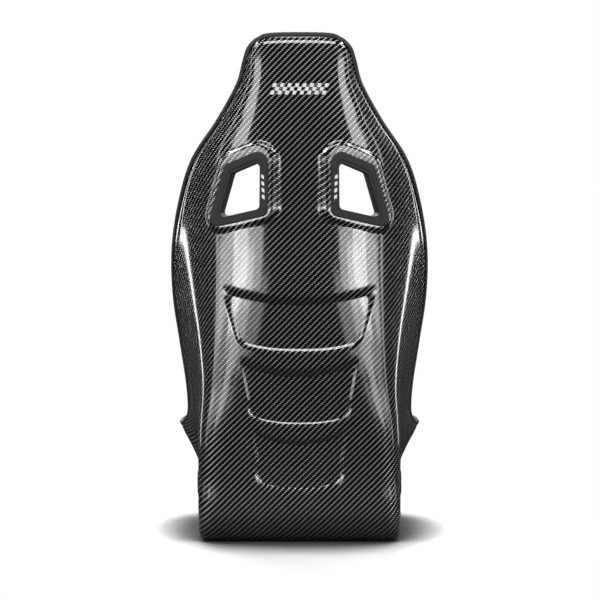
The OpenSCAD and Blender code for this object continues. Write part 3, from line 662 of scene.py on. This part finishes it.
def rim_distance(points):
    """Length along the skin from each point to the side edge and to the top edge."""
    steps = np.linalg.norm(np.diff(points, axis=1), axis=2)
    length = np.concatenate([np.zeros((len(points), 1)), np.cumsum(steps, 1)], 1)
    side = np.minimum(length, length[:, -1:] - length)
    middle = points[:, points.shape[1] // 2]
    down = np.concatenate([[0], np.cumsum(np.linalg.norm(np.diff(middle, axis=0), axis=1))])
    return side, down, length


def joggle(points, s):
    """The raised main skin, inside a crease that runs round the head and down the wings."""
    side, down, _ = rim_distance(points)
    inset = np.interp(s, [0, 3, 6, 9, 11], [14, 15, 17, 30, 44])[:, None]
    share = ramp((side - inset) / JOGGLE_WIDTH) * ramp((down - 15)[:, None] / JOGGLE_WIDTH)
    fade = 1 - ramp((s - 9.6) / 1.6)[:, None]
    return JOGGLE_RISE * share * fade


def build_shell():
    s, u = shell_rows(), shell_columns()
    points, inward = skin(s[:, None], u[None, :])
    x, z = points[..., 0], points[..., 2]
    facing = (points[..., 1] > 60) & (z > 60)
    pressed = np.zeros_like(x)
    for hollow in HOLLOWS:
        pressed += np.where(facing, hollow_depth(x, z, hollow), 0)
    shift, flat = boss_lift(points)
    step = joggle(points, s) * (1 - flat) - pressed
    outer = points - inward * step[..., None] + shift
    inner = points + inward * WALL
    verts, faces = closed_solid(outer, inner)
    shell = make("carbon_shell", verts, faces, MAT["carbon"])
    _, down, length = rim_distance(points)
    across = length - length[:, length.shape[1] // 2][:, None]
    cloth = np.stack([across, np.broadcast_to(-down[:, None], across.shape)], -1).reshape(-1, 2) * MM
    weave(shell, np.concatenate([cloth, cloth]))
    cutters = [prism(SLOT_HOLE, place, -40, 60) for place in (in_slot_frame, right_slot_frame)]
    cut(shell, cutters + flank_cutters() + [crotch_cutter(COLLAR + GAP, -5, 20)])
    return shell


def weave(obj, flat):
    """Gives the mesh its weave coordinates, one pair for each vertex."""
    layer = obj.data.uv_layers.new(name="weave")
    index = np.empty(len(obj.data.loops), int)
    obj.data.loops.foreach_get("vertex_index", index)
    layer.data.foreach_set("uv", flat[index].ravel())


# ---- openings and bolts in the flanks and the pan, placed by the frame ----
def middle_of(node):
    low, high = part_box(node)
    return (np.array(low) + np.array(high)) / 2 / MM


LAP_AT = middle_of("lap_belt_grommet_left")
CROTCH_AT = middle_of("crotch_strap_grommet")
BUSH_LOW, BUSH_HIGH = (np.array(corner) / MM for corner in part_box("mount_bushes"))
FLANGE = 11
BOLTS_Y = (BUSH_LOW[1] + FLANGE, BUSH_HIGH[1] - FLANGE)
BOLT_Z = (BUSH_LOW[2] + BUSH_HIGH[2]) / 2
BOLT_HOLE = 6.8
LAP, LAP_RADIUS = box_outline(68, 28), 10
CROTCH, CROTCH_RADIUS = box_outline(80, 30), 11


def flank_frame(y, z, side):
    """Places points on a flank: x backwards, y up, z outwards from its face."""
    return lambda a, b, c: np.stack([side * (BASE + c), y + a, z + b], -1)


def circle(radius, count=32):
    turn = np.linspace(0, 2 * math.pi, count, endpoint=False)
    return np.stack([radius * np.cos(turn), radius * np.sin(turn)], 1)


def flank_cutters():
    cutters = []
    lap = rounded(grown(LAP, COLLAR + GAP), LAP_RADIUS + COLLAR + GAP)
    for side in (1, -1):
        cutters.append(prism(lap, flank_frame(LAP_AT[1], LAP_AT[2], side), -20, 20))
        for y in BOLTS_Y:
            cutters.append(prism(circle(BOLT_HOLE), flank_frame(y, BOLT_Z, side), -12, 12))
    return cutters


def crotch_cutter(grow, low, high):
    outline = rounded(grown(CROTCH, grow), CROTCH_RADIUS + grow)
    return prism(outline, lambda a, b, c: np.stack([a, CROTCH_AT[1] + b, c], -1), low, high)


# ---- rubber rings: bezels and grommets ----
def ring(name, outline, place, material):
    """A closed moulded ring: outline(w) gives the edge w of the way out, at profile depths."""
    rings = [place(pts[:, 0], pts[:, 1], np.full(len(pts), depth)) for pts, depth in outline]
    loops = np.swapaxes(np.array(rings), 0, 1)
    verts, faces = sweep(loops)
    return make(name, verts, faces, material, sharp=40)


def bezel_profile(face, out, collar_end):
    """Outlines and depths round a bezel's section. face is where it sits, out its direction."""
    thick = 3.5

    def at(share, depth):
        return mix(SLOT_EDGE, BEZEL, share), face + out * depth

    shares = [(1.00, 0.1), (1.00, 1.9), (0.985, 2.7), (0.94, 3.3), (0.86, thick), (0.40, thick),
              (0.34, thick - 0.1), (0.30, thick - 0.9), (0.25, thick - 1.0), (0.20, thick - 0.7),
              (0.10, thick - 0.7), (0.035, thick - 1.0), (0.0, thick - 1.8)]
    rows = [at(*pair) for pair in shares]
    collar = rounded(grown(SLOT, COLLAR), SLOT_RADII + COLLAR)
    return rows + [(SLOT_EDGE, collar_end + out * 0.6), (mix(SLOT_EDGE, collar, 0.3), collar_end),
                   (collar, collar_end), (collar, face + out * 0.1)]


def build_bezels():
    for side, place in (("left", in_slot_frame), ("right", right_slot_frame)):
        rear = ring("bezel_rear_" + side, bezel_profile(0.0, -1, COLLAR_MEET), place,
                    MAT["bezel"])
        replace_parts(rear, "harness_bezel_rear_" + side)
        front = ring("bezel_front_" + side, bezel_profile(BEZEL_SEAT, 1, COLLAR_MEET + GAP), place,
                     MAT["bezel"])
        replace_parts(front, "harness_bezel_front_" + side)


def grommet_profile(edges, radius, rim, face, out, far):
    """Outlines and depths of a grommet: a rounded flange and a collar that lines the hole."""
    thick = 2.4

    def at(grow, depth):
        return rounded(grown(edges, grow), radius + grow), depth

    rows = [at(rim, face + out * 0.1), at(rim, face + out * 1.2), at(rim - 0.7, face + out * 2.0)]
    rows += [at(rim - 2, face + out * thick), at(3.5, face + out * thick)]
    rows += [at(1.2, face + out * (thick - 0.4)), at(0.0, face + out * (thick - 1.4)), at(0.0, far)]
    return rows + [at(COLLAR, far), at(COLLAR, face + out * 0.1)]


def build_grommets():
    for side, sign in (("left", 1), ("right", -1)):
        outline = grommet_profile(LAP, LAP_RADIUS, 10, 0.0, 1, -WALL - 0.4)
        outer = ring("lap_grommet_" + side, outline, flank_frame(LAP_AT[1], LAP_AT[2], sign),
                     MAT["bezel"])
        inner_outline = grommet_profile(LAP, LAP_RADIUS, 7, -WALL - 0.3, -1, -WALL + 0.6)
        inner = ring("lap_grommet_inner_" + side, inner_outline,
                     flank_frame(LAP_AT[1], LAP_AT[2], sign), MAT["bezel"])
        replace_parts(outer, "lap_belt_grommet_" + side)
    top = WALL + GAP + LINER
    outline = grommet_profile(CROTCH, CROTCH_RADIUS, 10, top, 1, 0.5)
    made = ring("crotch_grommet", outline,
                lambda a, b, c: np.stack([a, CROTCH_AT[1] + b, c], -1), MAT["bezel"])
    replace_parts(made, "crotch_strap_grommet")


# ---- rubber edge ----
def build_trim():
    """The rubber profile, swept once round the rim."""
    down = np.linspace(0, LAST, 321)
    over = np.linspace(-1, 1, 81)
    s = np.concatenate([np.zeros(80), down[:-1], np.full(80, LAST), down[:0:-1]])
    u = np.concatenate([over[:-1], np.ones(320), over[:0:-1], -np.ones(320)])
    rim, inward = skin(s, u)
    tangent = unit(np.roll(rim, -1, 0) - np.roll(rim, 1, 0))
    out = unit(np.cross(inward, tangent))
    leg, gap, wall, bulb = 6.8, 0.4, 2.0, 2.3
    far = WALL + gap + wall
    nose = [(bulb * math.cos(g), WALL / 2 - (WALL / 2 + gap + wall) * math.sin(g))
            for g in np.linspace(math.pi / 2.15, -math.pi / 2.15, 9)]
    profile = [(-leg, -gap - 1.0), (-leg + 0.8, -gap - 1.7), (-leg + 2.5, -gap - wall)] + nose
    profile += [(-leg + 2.5, far), (-leg + 0.8, far - 0.3), (-leg, far - 1.0)]
    profile += [(-leg, WALL + gap), (gap, WALL + gap), (gap, -gap), (-leg, -gap)]
    rings = np.stack([rim + a * out + b * inward for a, b in profile], 1)
    verts, faces = sweep(rings)
    trim = make("edge_rubber_profile", verts, faces, MAT["trim"], sharp=60)
    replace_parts(trim, "edge_trim")


# ---- marks: a generic chequered strip and plain dashes ----
def tiles(name, corners, lift, material, inner_place=None):
    """Thin printed tiles, each a slanted quad of four (x, z) corners, laid on the back."""
    verts, faces = [], []
    for quad in corners:
        start = len(verts)
        pts = [mix(mix(quad[0], quad[1], a), mix(quad[3], quad[2], a), b)
               for b in (0, 0.5, 1) for a in (0, 0.5, 1)]
        for height in (lift + 0.3, lift - 0.3):
            verts += [inner_place(p, height) for p in pts]
        v, f = closed_solid(np.array(verts[start:start + 9]).reshape(3, 3, 3),
                            np.array(verts[start + 9:]).reshape(3, 3, 3))
        faces += [list(k + start) for k in f]
    return make(name, verts, faces, material, smooth=False)


def build_marks():
    """A chequered strip on the head and three dashes on the inner bar of each rear bezel."""
    size, slant = 6.6, 2.2
    quads = []
    for row in range(3):
        for col in range(15):
            if (row + col) % 2 == 0:
                x0 = (col - 7.5) * size - slant * (row - 1.5)
                z0 = 830 + (row - 1.5) * size
                quads.append(np.array([[x0, z0], [x0 + size, z0], [x0 + size - slant, z0 + size],
                                       [x0 - slant, z0 + size]], float))
    tiles("chequered_strip", quads, JOGGLE_RISE, MAT["white"], lambda p, h: on_back(p[0], p[1], h)[0])
    dashes = []
    for k in range(4):
        y0 = -14 + 12 * k
        dashes.append(np.array([[-43.5, y0], [-38.5, y0 + 2.5], [-38.5, y0 + 9], [-43.5, y0 + 6.5]], float))
    for side, place in (("left", in_slot_frame), ("right", right_slot_frame)):
        tiles("bezel_dashes_" + side, dashes, 3.5, MAT["white"],
              lambda p, h, place=place: place(np.array(p[0]), np.array(p[1]), np.array(-h)))


# ---- bonded pads ----
class Pad:
    """A padded panel over part of the skin, from station s0 to s1 and column j0 to j1."""

    def __init__(self, s0, s1, j0, j1, foam, depth=WALL + GAP, soft=16.0, edge=2.0, channels=()):
        self.s, self.j = (s0, s1), (j0, j1)
        self.foam, self.depth, self.soft, self.edge, self.channels = foam, depth, soft, edge, channels
        row, _ = skin(np.linspace(s0, s1, 40), mix(j0, j1, 0.5) / HALF_COLS)
        self.length = np.linalg.norm(np.diff(row, axis=0), axis=1).sum()
        col, _ = skin(mix(s0, s1, 0.5), np.linspace(j0, j1, 40) / HALF_COLS)
        self.width = np.linalg.norm(np.diff(col, axis=0), axis=1).sum()

    def rise(self, a, b):
        """Height of the padded face at shares a down and b across."""
        down = np.minimum(a, 1 - a) * self.length / self.soft
        side = np.minimum(b, 1 - b) * self.width / self.soft
        crown = [(1 - (1 - np.clip(e, 0, 1))**2.6)**(1 / 2.0) for e in (down, side)]
        height = self.edge + (self.foam - self.edge) * crown[0] * crown[1]
        for across, at, sink in self.channels:
            away = (a - at) * self.length if across else (b - at) * self.width
            height = height - sink * np.exp(-(away / 3.2)**2) * crown[0] * crown[1]
        return height

    def at(self, a, b, lift=0.0):
        """A point of the padded face, and the direction out of it."""
        a, b = np.broadcast_arrays(np.asarray(a, float), np.asarray(b, float))
        points, inward = skin(mix(*self.s, a), mix(*self.j, b) / HALF_COLS)
        return points + inward * (self.depth + self.rise(a, b) + lift)[..., None], inward

    def shares(self, pitch):
        """Even shares down and across, with more of them in the soft edges."""
        def spread(total):
            count = max(8, int(total / pitch))
            t = np.linspace(0, 1, count)
            edge = np.array([0.12, 0.3, 0.55]) * pitch / total
            return np.unique(np.concatenate([t, edge, 1 - edge]))
        return spread(self.length), spread(self.width)

    def solid(self, pitch=4.5):
        a, b = self.shares(pitch)
        front, _ = self.at(a[:, None], b[None, :])
        ground, inward = skin(mix(*self.s, a)[:, None], mix(*self.j, b)[None, :] / HALF_COLS)
        return closed_solid(ground + inward * self.depth, front)

    def line(self, across, at, inset=9.0, count=160):
        """Points and normals of a sewn line on the face, across or down the pad."""
        total = self.width if across else self.length
        t = np.linspace(inset / total, 1 - inset / total, count)
        return self.at(np.full(count, at), t) if across else self.at(t, np.full(count, at))


def stitches(name, lines, pitch=5.2, length=3.6, radius=0.55, body=BODY):
    """Rows of separate thread stitches, each a small spindle that dips at its ends."""
    verts, faces = [], []
    turn = np.linspace(0, 2 * math.pi, 6, endpoint=False)
    share = np.array([0.0, 0.18, 0.5, 0.82, 1.0])
    size = np.array([0.45, 0.95, 1.0, 0.95, 0.45])
    sink = np.array([-0.7, 0.05, 0.2, 0.05, -0.7])
    for points, normals in lines:
        gone = np.concatenate([[0], np.cumsum(np.linalg.norm(np.diff(points, axis=0), axis=1))])
        for start in np.arange(pitch / 2, gone[-1] - length, pitch):
            p = np.stack([np.interp(start + share * length, gone, points[:, k]) for k in range(3)], 1)
            n = unit(np.array([np.interp(start, gone, normals[:, k]) for k in range(3)]))
            side = unit(np.cross(p[-1] - p[0], n))
            first = len(verts)
            rings = [p[k] + n * sink[k] + radius * size[k] * (math.cos(g) * side + math.sin(g) * n)
                     for k in range(5) for g in turn]
            verts += rings
            faces += (grid_faces(5, 6, first, wrap=True)).tolist()
            faces.append([first + k for k in range(6)])
            faces.append([first + 24 + k for k in range(5, -1, -1)])
    return make(name, verts, faces, MAT["thread"], body=body)


HEAD_TOP, HEAD_END, UPPER_END, MID_END, LOWER_END = 1.2, 4.05, 6.75, 8.85, 12.6
SEAM, RIM_COL, BACK_COL = 0.12, 15.2, 8.6
BACK_CHANNELS = ((True, 0.34, 3.0), (True, 0.66, 3.0))
PADS = {
    "head_pad": Pad(HEAD_TOP, HEAD_END, 0.6 - RIM_COL, RIM_COL - 0.6, BACK_FOAM - 4),
    "upper_back_pad": Pad(HEAD_END + SEAM, UPPER_END, -RIM_COL, RIM_COL, BACK_FOAM),
    "mid_back_pad": Pad(UPPER_END + SEAM, MID_END, -BACK_COL, BACK_COL, BACK_FOAM, channels=BACK_CHANNELS),
    "lower_back_pad": Pad(MID_END + SEAM, LOWER_END, -7, 7, LINER, soft=10),
    "pan_pad": Pad(14.15, 19.4, -6.6, 6.6, LINER, soft=10),
}
BOLSTERS = {
    "shoulder_bolster": Pad(UPPER_END + SEAM, MID_END, BACK_COL + SEAM, RIM_COL, BOLSTER_FOAM, soft=34),
    "side_bolster": Pad(MID_END + SEAM, 11.0, BACK_COL + SEAM, RIM_COL, BOLSTER_FOAM, soft=34),
    "thigh_bolster": Pad(15, 19.4, 7.8, RIM_COL - 0.4, BOLSTER_FOAM - 2, soft=30),
}


def edge_lines(pad, inset=8.0):
    """Sewn lines a little inside the four edges of a pad."""
    a, b = inset / pad.length, inset / pad.width
    lines = [pad.line(True, a), pad.line(True, 1 - a), pad.line(False, b), pad.line(False, 1 - b)]
    return lines


def build_pads():
    sewn = []
    for name, pad in PADS.items():
        verts, faces = pad.solid()
        made = make(name + "_cover", verts, faces, MAT["pad"], sharp=70)
        if name == "upper_back_pad":
            for place in (in_slot_frame, right_slot_frame):
                cut(made, [prism(SLOT_HOLE, place, -60, 60), prism(PAD_HOLE, place, BEZEL_SEAT - 0.2, 60)])
        if name == "pan_pad":
            cut(made, [crotch_cutter(COLLAR + GAP, -5, 30)])
        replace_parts(made, name)
        sewn += edge_lines(pad, 7.0 if pad.foam > 10 else 5.0)
        for across, at, _ in pad.channels:
            sewn.append(pad.line(across, at, 12.0))
    for name, pad in BOLSTERS.items():
        for side, sign in (("left", 1), ("right", -1)):
            verts, faces = pad.solid()
            made = make(f"{name}_{side}_cover", verts * [sign, 1, 1], faces, MAT["bolster"], sharp=70)
            if name == "thigh_bolster":
                cut(made, [plate_pocket(sign)])
            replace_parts(made, f"{name}_{side}")
            sewn += [(p * [sign, 1, 1], n * [sign, 1, 1]) for p, n in edge_lines(pad, 10.0)]
    stitches("pad_stitches", sewn)


def plate_pocket(sign):
    """The pocket that clears a mount plate."""
    low, high = (np.array(c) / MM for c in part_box("mount_plate_left"))
    room = 0.4
    corners = box_outline(high[1] - low[1] + 2 * room, high[2] - low[2] + 2 * room)
    centre = (low + high) / 2
    return prism(corners, lambda a, b, c: np.stack([sign * c, centre[1] + a, centre[2] + b], -1),
                 low[0] - room, high[0] + 8)


# ---- lift-off cushions ----
STRIP = 2.6
CUSHIONS = {
    "base_cushion": (14.6, 18.9, 5.2, LINER, 46, ((True, 0.3), (True, 0.52), (True, 0.76))),
    "lumbar_cushion": (9.15, 12.2, 5.6, LINER, 34, ((True, 0.33), (True, 0.66))),
    "head_cushion": (1.8, 3.85, 10.5, BACK_FOAM - 4, 28, ()),
}
BACKING = 3.0
SWELL = 9.0


def cushion_pad(name, height_share=1.0):
    s0, s1, col, foam, height, channels = CUSHIONS[name]
    depth = WALL + GAP + foam + 0.1 + STRIP + 0.4 + BACKING + 0.3
    full = height - BACKING - 1.0
    return Pad(s0, s1, -col, col, full * height_share, depth=depth, soft=0.75 * height, edge=7.0,
               channels=tuple((across, at, 6.0) for across, at in channels))


def seam_points(pad, channels):
    """The lines that the swelling leaves in place: the channels and the rim of the face."""
    lines = [pad.line(across, at, 14.0)[0] for across, at in channels]
    a, b = 3.0 / pad.length, 3.0 / pad.width
    lines += [pad.line(True, a, 3.0)[0], pad.line(True, 1 - a, 3.0)[0]]
    lines += [pad.line(False, b, 3.0)[0], pad.line(False, 1 - b, 3.0)[0]]
    return np.concatenate(lines)


def swell(obj, held, cap):
    """Blows the cushion up with Cloth, holding its seams, no point past cap."""
    mod = obj.modifiers.new("remesh", "REMESH")
    mod.mode = "VOXEL"
    mod.voxel_size = 5.0 * MM
    apply(obj)
    mesh = obj.data
    start = np.empty(len(mesh.vertices) * 3)
    mesh.vertices.foreach_get("co", start)
    start = start.reshape(-1, 3)
    tree = KDTree(len(held))
    for k, p in enumerate(held * MM):
        tree.insert(p, k)
    tree.balance()
    group = obj.vertex_groups.new(name="held")
    for k, p in enumerate(start):
        away = tree.find(p)[2] / MM
        weight = max(0.0, min(1.0, (9.0 - away) / 5.0))
        if weight > 0:
            group.add([k], weight, "REPLACE")
    cloth = obj.modifiers.new("cloth", "CLOTH")
    cloth.settings.use_pressure = True
    cloth.settings.uniform_pressure_force = 4.0
    cloth.settings.effector_weights.gravity = 0.0
    cloth.settings.vertex_group_mass = "held"
    scene = bpy.context.scene
    for number in range(1, 21):
        scene.frame_set(number)
    apply(obj)
    scene.frame_set(1)
    moved = np.empty(len(obj.data.vertices) * 3)
    obj.data.vertices.foreach_get("co", moved)
    shift = moved.reshape(-1, 3) - start
    size = np.maximum(np.linalg.norm(shift, axis=1, keepdims=True), 1e-9)
    obj.data.vertices.foreach_set("co", (start + shift * np.minimum(1, cap * MM / size)).ravel())
    obj.vertex_groups.clear()
    smooth = obj.modifiers.new("smooth", "SMOOTH")
    smooth.iterations = 3
    fine = obj.modifiers.new("fine", "SUBSURF")
    fine.levels = 1
    apply(obj)
    obj.data.shade_smooth()


def piping(name, pad, lift, radius, body):
    """A piped seam all round the face of a cushion."""
    a, b = 3.0 / pad.length, 3.0 / pad.width
    t = np.linspace(0, 1, 70)[:-1]
    path_a = np.concatenate([np.full(69, a), mix(a, 1 - a, t), np.full(69, 1 - a), mix(1 - a, a, t)])
    path_b = np.concatenate([mix(b, 1 - b, t), np.full(69, 1 - b), mix(1 - b, b, t), np.full(69, b)])
    for _ in range(6):
        path_a = (np.roll(path_a, 1) + path_a + np.roll(path_a, -1)) / 3
        path_b = (np.roll(path_b, 1) + path_b + np.roll(path_b, -1)) / 3
    points, normals = pad.at(path_a, path_b, lift)
    tangent = unit(np.roll(points, -1, 0) - np.roll(points, 1, 0))
    side = unit(np.cross(tangent, normals))
    rings = [points + radius * (math.cos(g) * side + math.sin(g) * normals)
             for g in np.linspace(0, 2 * math.pi, 10, endpoint=False)]
    verts, faces = sweep(np.stack(rings, 1))
    return make(name, verts, faces, MAT["piping"], sharp=80, body=body)


def build_cushion(name):
    s0, s1, col, foam, height, channels = CUSHIONS[name]
    pad = cushion_pad(name, 0.78)
    verts, faces = pad.solid(6.0)
    cover = make(name + "_sewn_cover", verts, faces, MAT["cushion"], body=name)
    swell(cover, seam_points(pad, channels), SWELL)
    if name == "base_cushion":
        cut(cover, [crotch_cutter(6.0, -5, 140)])
    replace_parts(cover, name + "_cover", name + "_foam")
    backing = Pad(s0 + 0.02, s1 - 0.02, 0.05 - col, col - 0.05, BACKING, depth=pad.depth - BACKING - 0.3,
                  soft=3.0, edge=0.8)
    verts, faces = backing.solid(8.0)
    lining = make(name + "_lining", verts, faces, MAT["lining"], body=name)
    if name == "base_cushion":
        cut(lining, [crotch_cutter(6.0, -5, 140)])
    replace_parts(lining, name + "_backing")
    piping(name + "_piping", pad, 0.4, 1.7, name)
    lines = [pad.line(across, at, 16.0) for across, at in channels]
    if lines:
        stitches(name + "_stitches", lines, body=name)


# ---- CAD nodes that stay, with their own finish ----
def finish_kept_nodes():
    keep = {"mount_plate_left": "plate", "mount_plate_right": "plate", "mount_bushes": "steel",
            "base_hook_strips": "hooks", "lumbar_hook_strips": "hooks", "head_hook_strips": "hooks"}
    for node, material in keep.items():
        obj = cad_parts[node]
        for slot in obj.material_slots:
            slot.material = MAT[material]
        bevel = obj.modifiers.new("edges", "BEVEL")
        bevel.width = 0.4 * MM
        bevel.segments = 2
        bevel.limit_method = "ANGLE"


# ---- studio ----
FLOOR_Z = float(CAD_BOX[0][2])


def build_floor():
    """A pale floor that is lit near the seat, with a painted contact shadow round the seat, and turns into
    plain white further off.
    """
    count, reach = 64, 1.5
    radii = [0.0, 0.3, 0.6, 0.9, 1.2, reach]
    turn = np.linspace(0, 2 * math.pi, count, endpoint=False)
    verts = [(r * math.cos(g), r * math.sin(g), FLOOR_Z - 0.0004) for r in radii[1:] for g in turn]
    faces = [tuple(range(count))] + grid_faces(len(radii) - 1, count, wrap=True).tolist()
    m = Shader("pale_floor", roughness=0.8)
    # Painted shadow: ambient occlusion darkens the floor's colour near the seat into a painted contact
    # shadow.
    painted_contact_shade = m.node("ShaderNodeAmbientOcclusion", {"Distance": 0.2}, samples=8)
    seen = m.node("ShaderNodeLightPath")
    lit = m.between(painted_contact_shade.outputs["AO"], 0.0, 1.0, 0.55, 0.9)
    # Only camera rays see the pale colour; every other ray sees the floor dark grey.
    shade = m.math("MULTIPLY", lit, seen.outputs["Is Camera Ray"])
    m.colour(m.blend(shade, (0.05, 0.05, 0.05), (1.0, 1.0, 1.0)))
    coord = m.node("ShaderNodeTexCoord")
    away = m.node("ShaderNodeVectorMath", {"Vector": coord.outputs["Object"]}, operation="LENGTH")
    share = m.between(away.outputs["Value"], 0, 1, 0.3, 0.62)
    clear = m.node("ShaderNodeBsdfTransparent")
    both = m.node("ShaderNodeMixShader", {0: share, 1: m.bsdf.outputs[0], 2: clear.outputs[0]})
    m.tree.links.new(both.outputs[0], m.tree.nodes["Material Output"].inputs[0])
    floor = make("floor", np.array(verts) / MM, faces, m.material, body=None)


def area_light(name, at, aim, size, power, tone=(1, 1, 1)):
    """A soft rectangular light, size wide and high, that looks at aim."""
    data = bpy.data.lights.new(name, "AREA")
    data.shape = "RECTANGLE"
    data.size, data.size_y = size
    data.energy = power
    data.color = tone
    obj = bpy.data.objects.new(name, data)
    obj.location = at
    obj.rotation_euler = (Vector(aim) - Vector(at)).to_track_quat("-Z", "Y").to_euler()
    bpy.context.scene.collection.objects.link(obj)
    return obj


CAMERA_AT = Vector((-0.001, 3.416, 0.52))
CAMERA_AIM = Vector((-0.001, 0.166, 0.451))
LENS = 105.4


def mirror_place(x, z, distance):
    """Where a light stands so that the camera sees it mirrored at (x, z) on the back."""
    point, out = on_back(x, z)
    point, out = Vector(point * MM), Vector(out)
    ray = (point - CAMERA_AT).normalized()
    bounced = ray - 2 * ray.dot(out) * out
    return point + bounced * distance, point


# The walls of light whose mirror images lie on the upper back: name, edges of each panel's image.
SOFTBOXES = (("softbox_left", (66, 92, 118, 146)), ("softbox_right", (-72, -96, -120, -142)))
GLOW = 5.5


def build_studio():
    scene = bpy.context.scene
    world = bpy.data.worlds.new("studio")
    world.use_nodes = True
    scene.world = world
    nodes, links = world.node_tree.nodes, world.node_tree.links
    soft = nodes["Background"]
    soft.inputs["Color"].default_value = (0.80, 0.83, 0.88, 1)
    soft.inputs["Strength"].default_value = 0.03
    white = nodes.new("ShaderNodeBackground")
    white.inputs["Color"].default_value = (1, 1, 1, 1)
    seen = nodes.new("ShaderNodeLightPath")
    both = nodes.new("ShaderNodeMixShader")
    links.new(seen.outputs["Is Camera Ray"], both.inputs[0])
    links.new(soft.outputs[0], both.inputs[1])
    links.new(white.outputs[0], both.inputs[2])
    links.new(both.outputs[0], nodes["World Output"].inputs[0])
    for name, edges in SOFTBOXES:
        for level, (low, high, part) in enumerate(((478, 590, 1.0), (395, 478, 0.42))):
            for k, (one, other) in enumerate(zip(edges, edges[1:])):
                a, aim = mirror_place(one, (low + high) / 2, 2.4)
                b = mirror_place(other, (low + high) / 2, 2.4)[0]
                width = (a - b).length
                tall = (mirror_place(one, low, 2.4)[0] - mirror_place(one, high, 2.4)[0]).length
                glow = GLOW * part * (0.55, 1.2, 0.5)[k]
                power = glow * math.pi * width * tall
                area_light(f"{name}_{level}_{k}", (a + b) / 2, aim, (width, tall), power)
    area_light("overhead", (0, 1.9, 3.0), (0, 0.1, 0.4), (2.4, 0.9), 42)
    area_light("front_top", (0, -1.7, 2.9), (0, 0.2, 0), (1.4, 0.8), 130)
    area_light("front_key", (1.5, -2.6, 2.0), (0, 0, 0.4), (1.2, 1.6), 70)
    area_light("front_fill", (-1.8, -2.4, 2.2), (0, 0, 0.3), (1.6, 1.2), 45)
    for side in (1, -1):
        area_light(f"edge_strip_{side}", (side * 1.9, -0.9, 0.8), (side * 0.2, 0, 0.5), (0.14, 1.8), 6)
        area_light(f"side_strip_{side}", (side * 2.3, 0.9, 0.6), (side * 0.2, 0, 0.5), (0.16, 1.8), 2.5)
        area_light(f"hollow_light_{side}", (side * 1.6, 1.9, 0.75), (side * -0.1, 0.15, 0.4), (0.9, 0.8), 9)
        area_light(f"high_spot_{side}", (side * 1.7, 0.8, 2.1), (side * 0.1, 0.1, 0.4), (0.7, 0.7), 18)
    scene.view_settings.view_transform = "Standard"


def build_camera():
    data = bpy.data.cameras.new("camera")
    data.lens = LENS
    data.sensor_width = 36
    obj = bpy.data.objects.new("camera", data)
    obj.location = CAMERA_AT
    obj.rotation_euler = (CAMERA_AIM - CAMERA_AT).to_track_quat("-Z", "Y").to_euler()
    bpy.context.scene.collection.objects.link(obj)
    bpy.context.scene.camera = obj


build_camera()
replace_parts(build_shell(), "shell")
build_trim()
build_bezels()
build_grommets()
build_marks()
build_pads()
for cushion in CUSHIONS:
    build_cushion(cushion)
finish_kept_nodes()
build_floor()
build_studio()
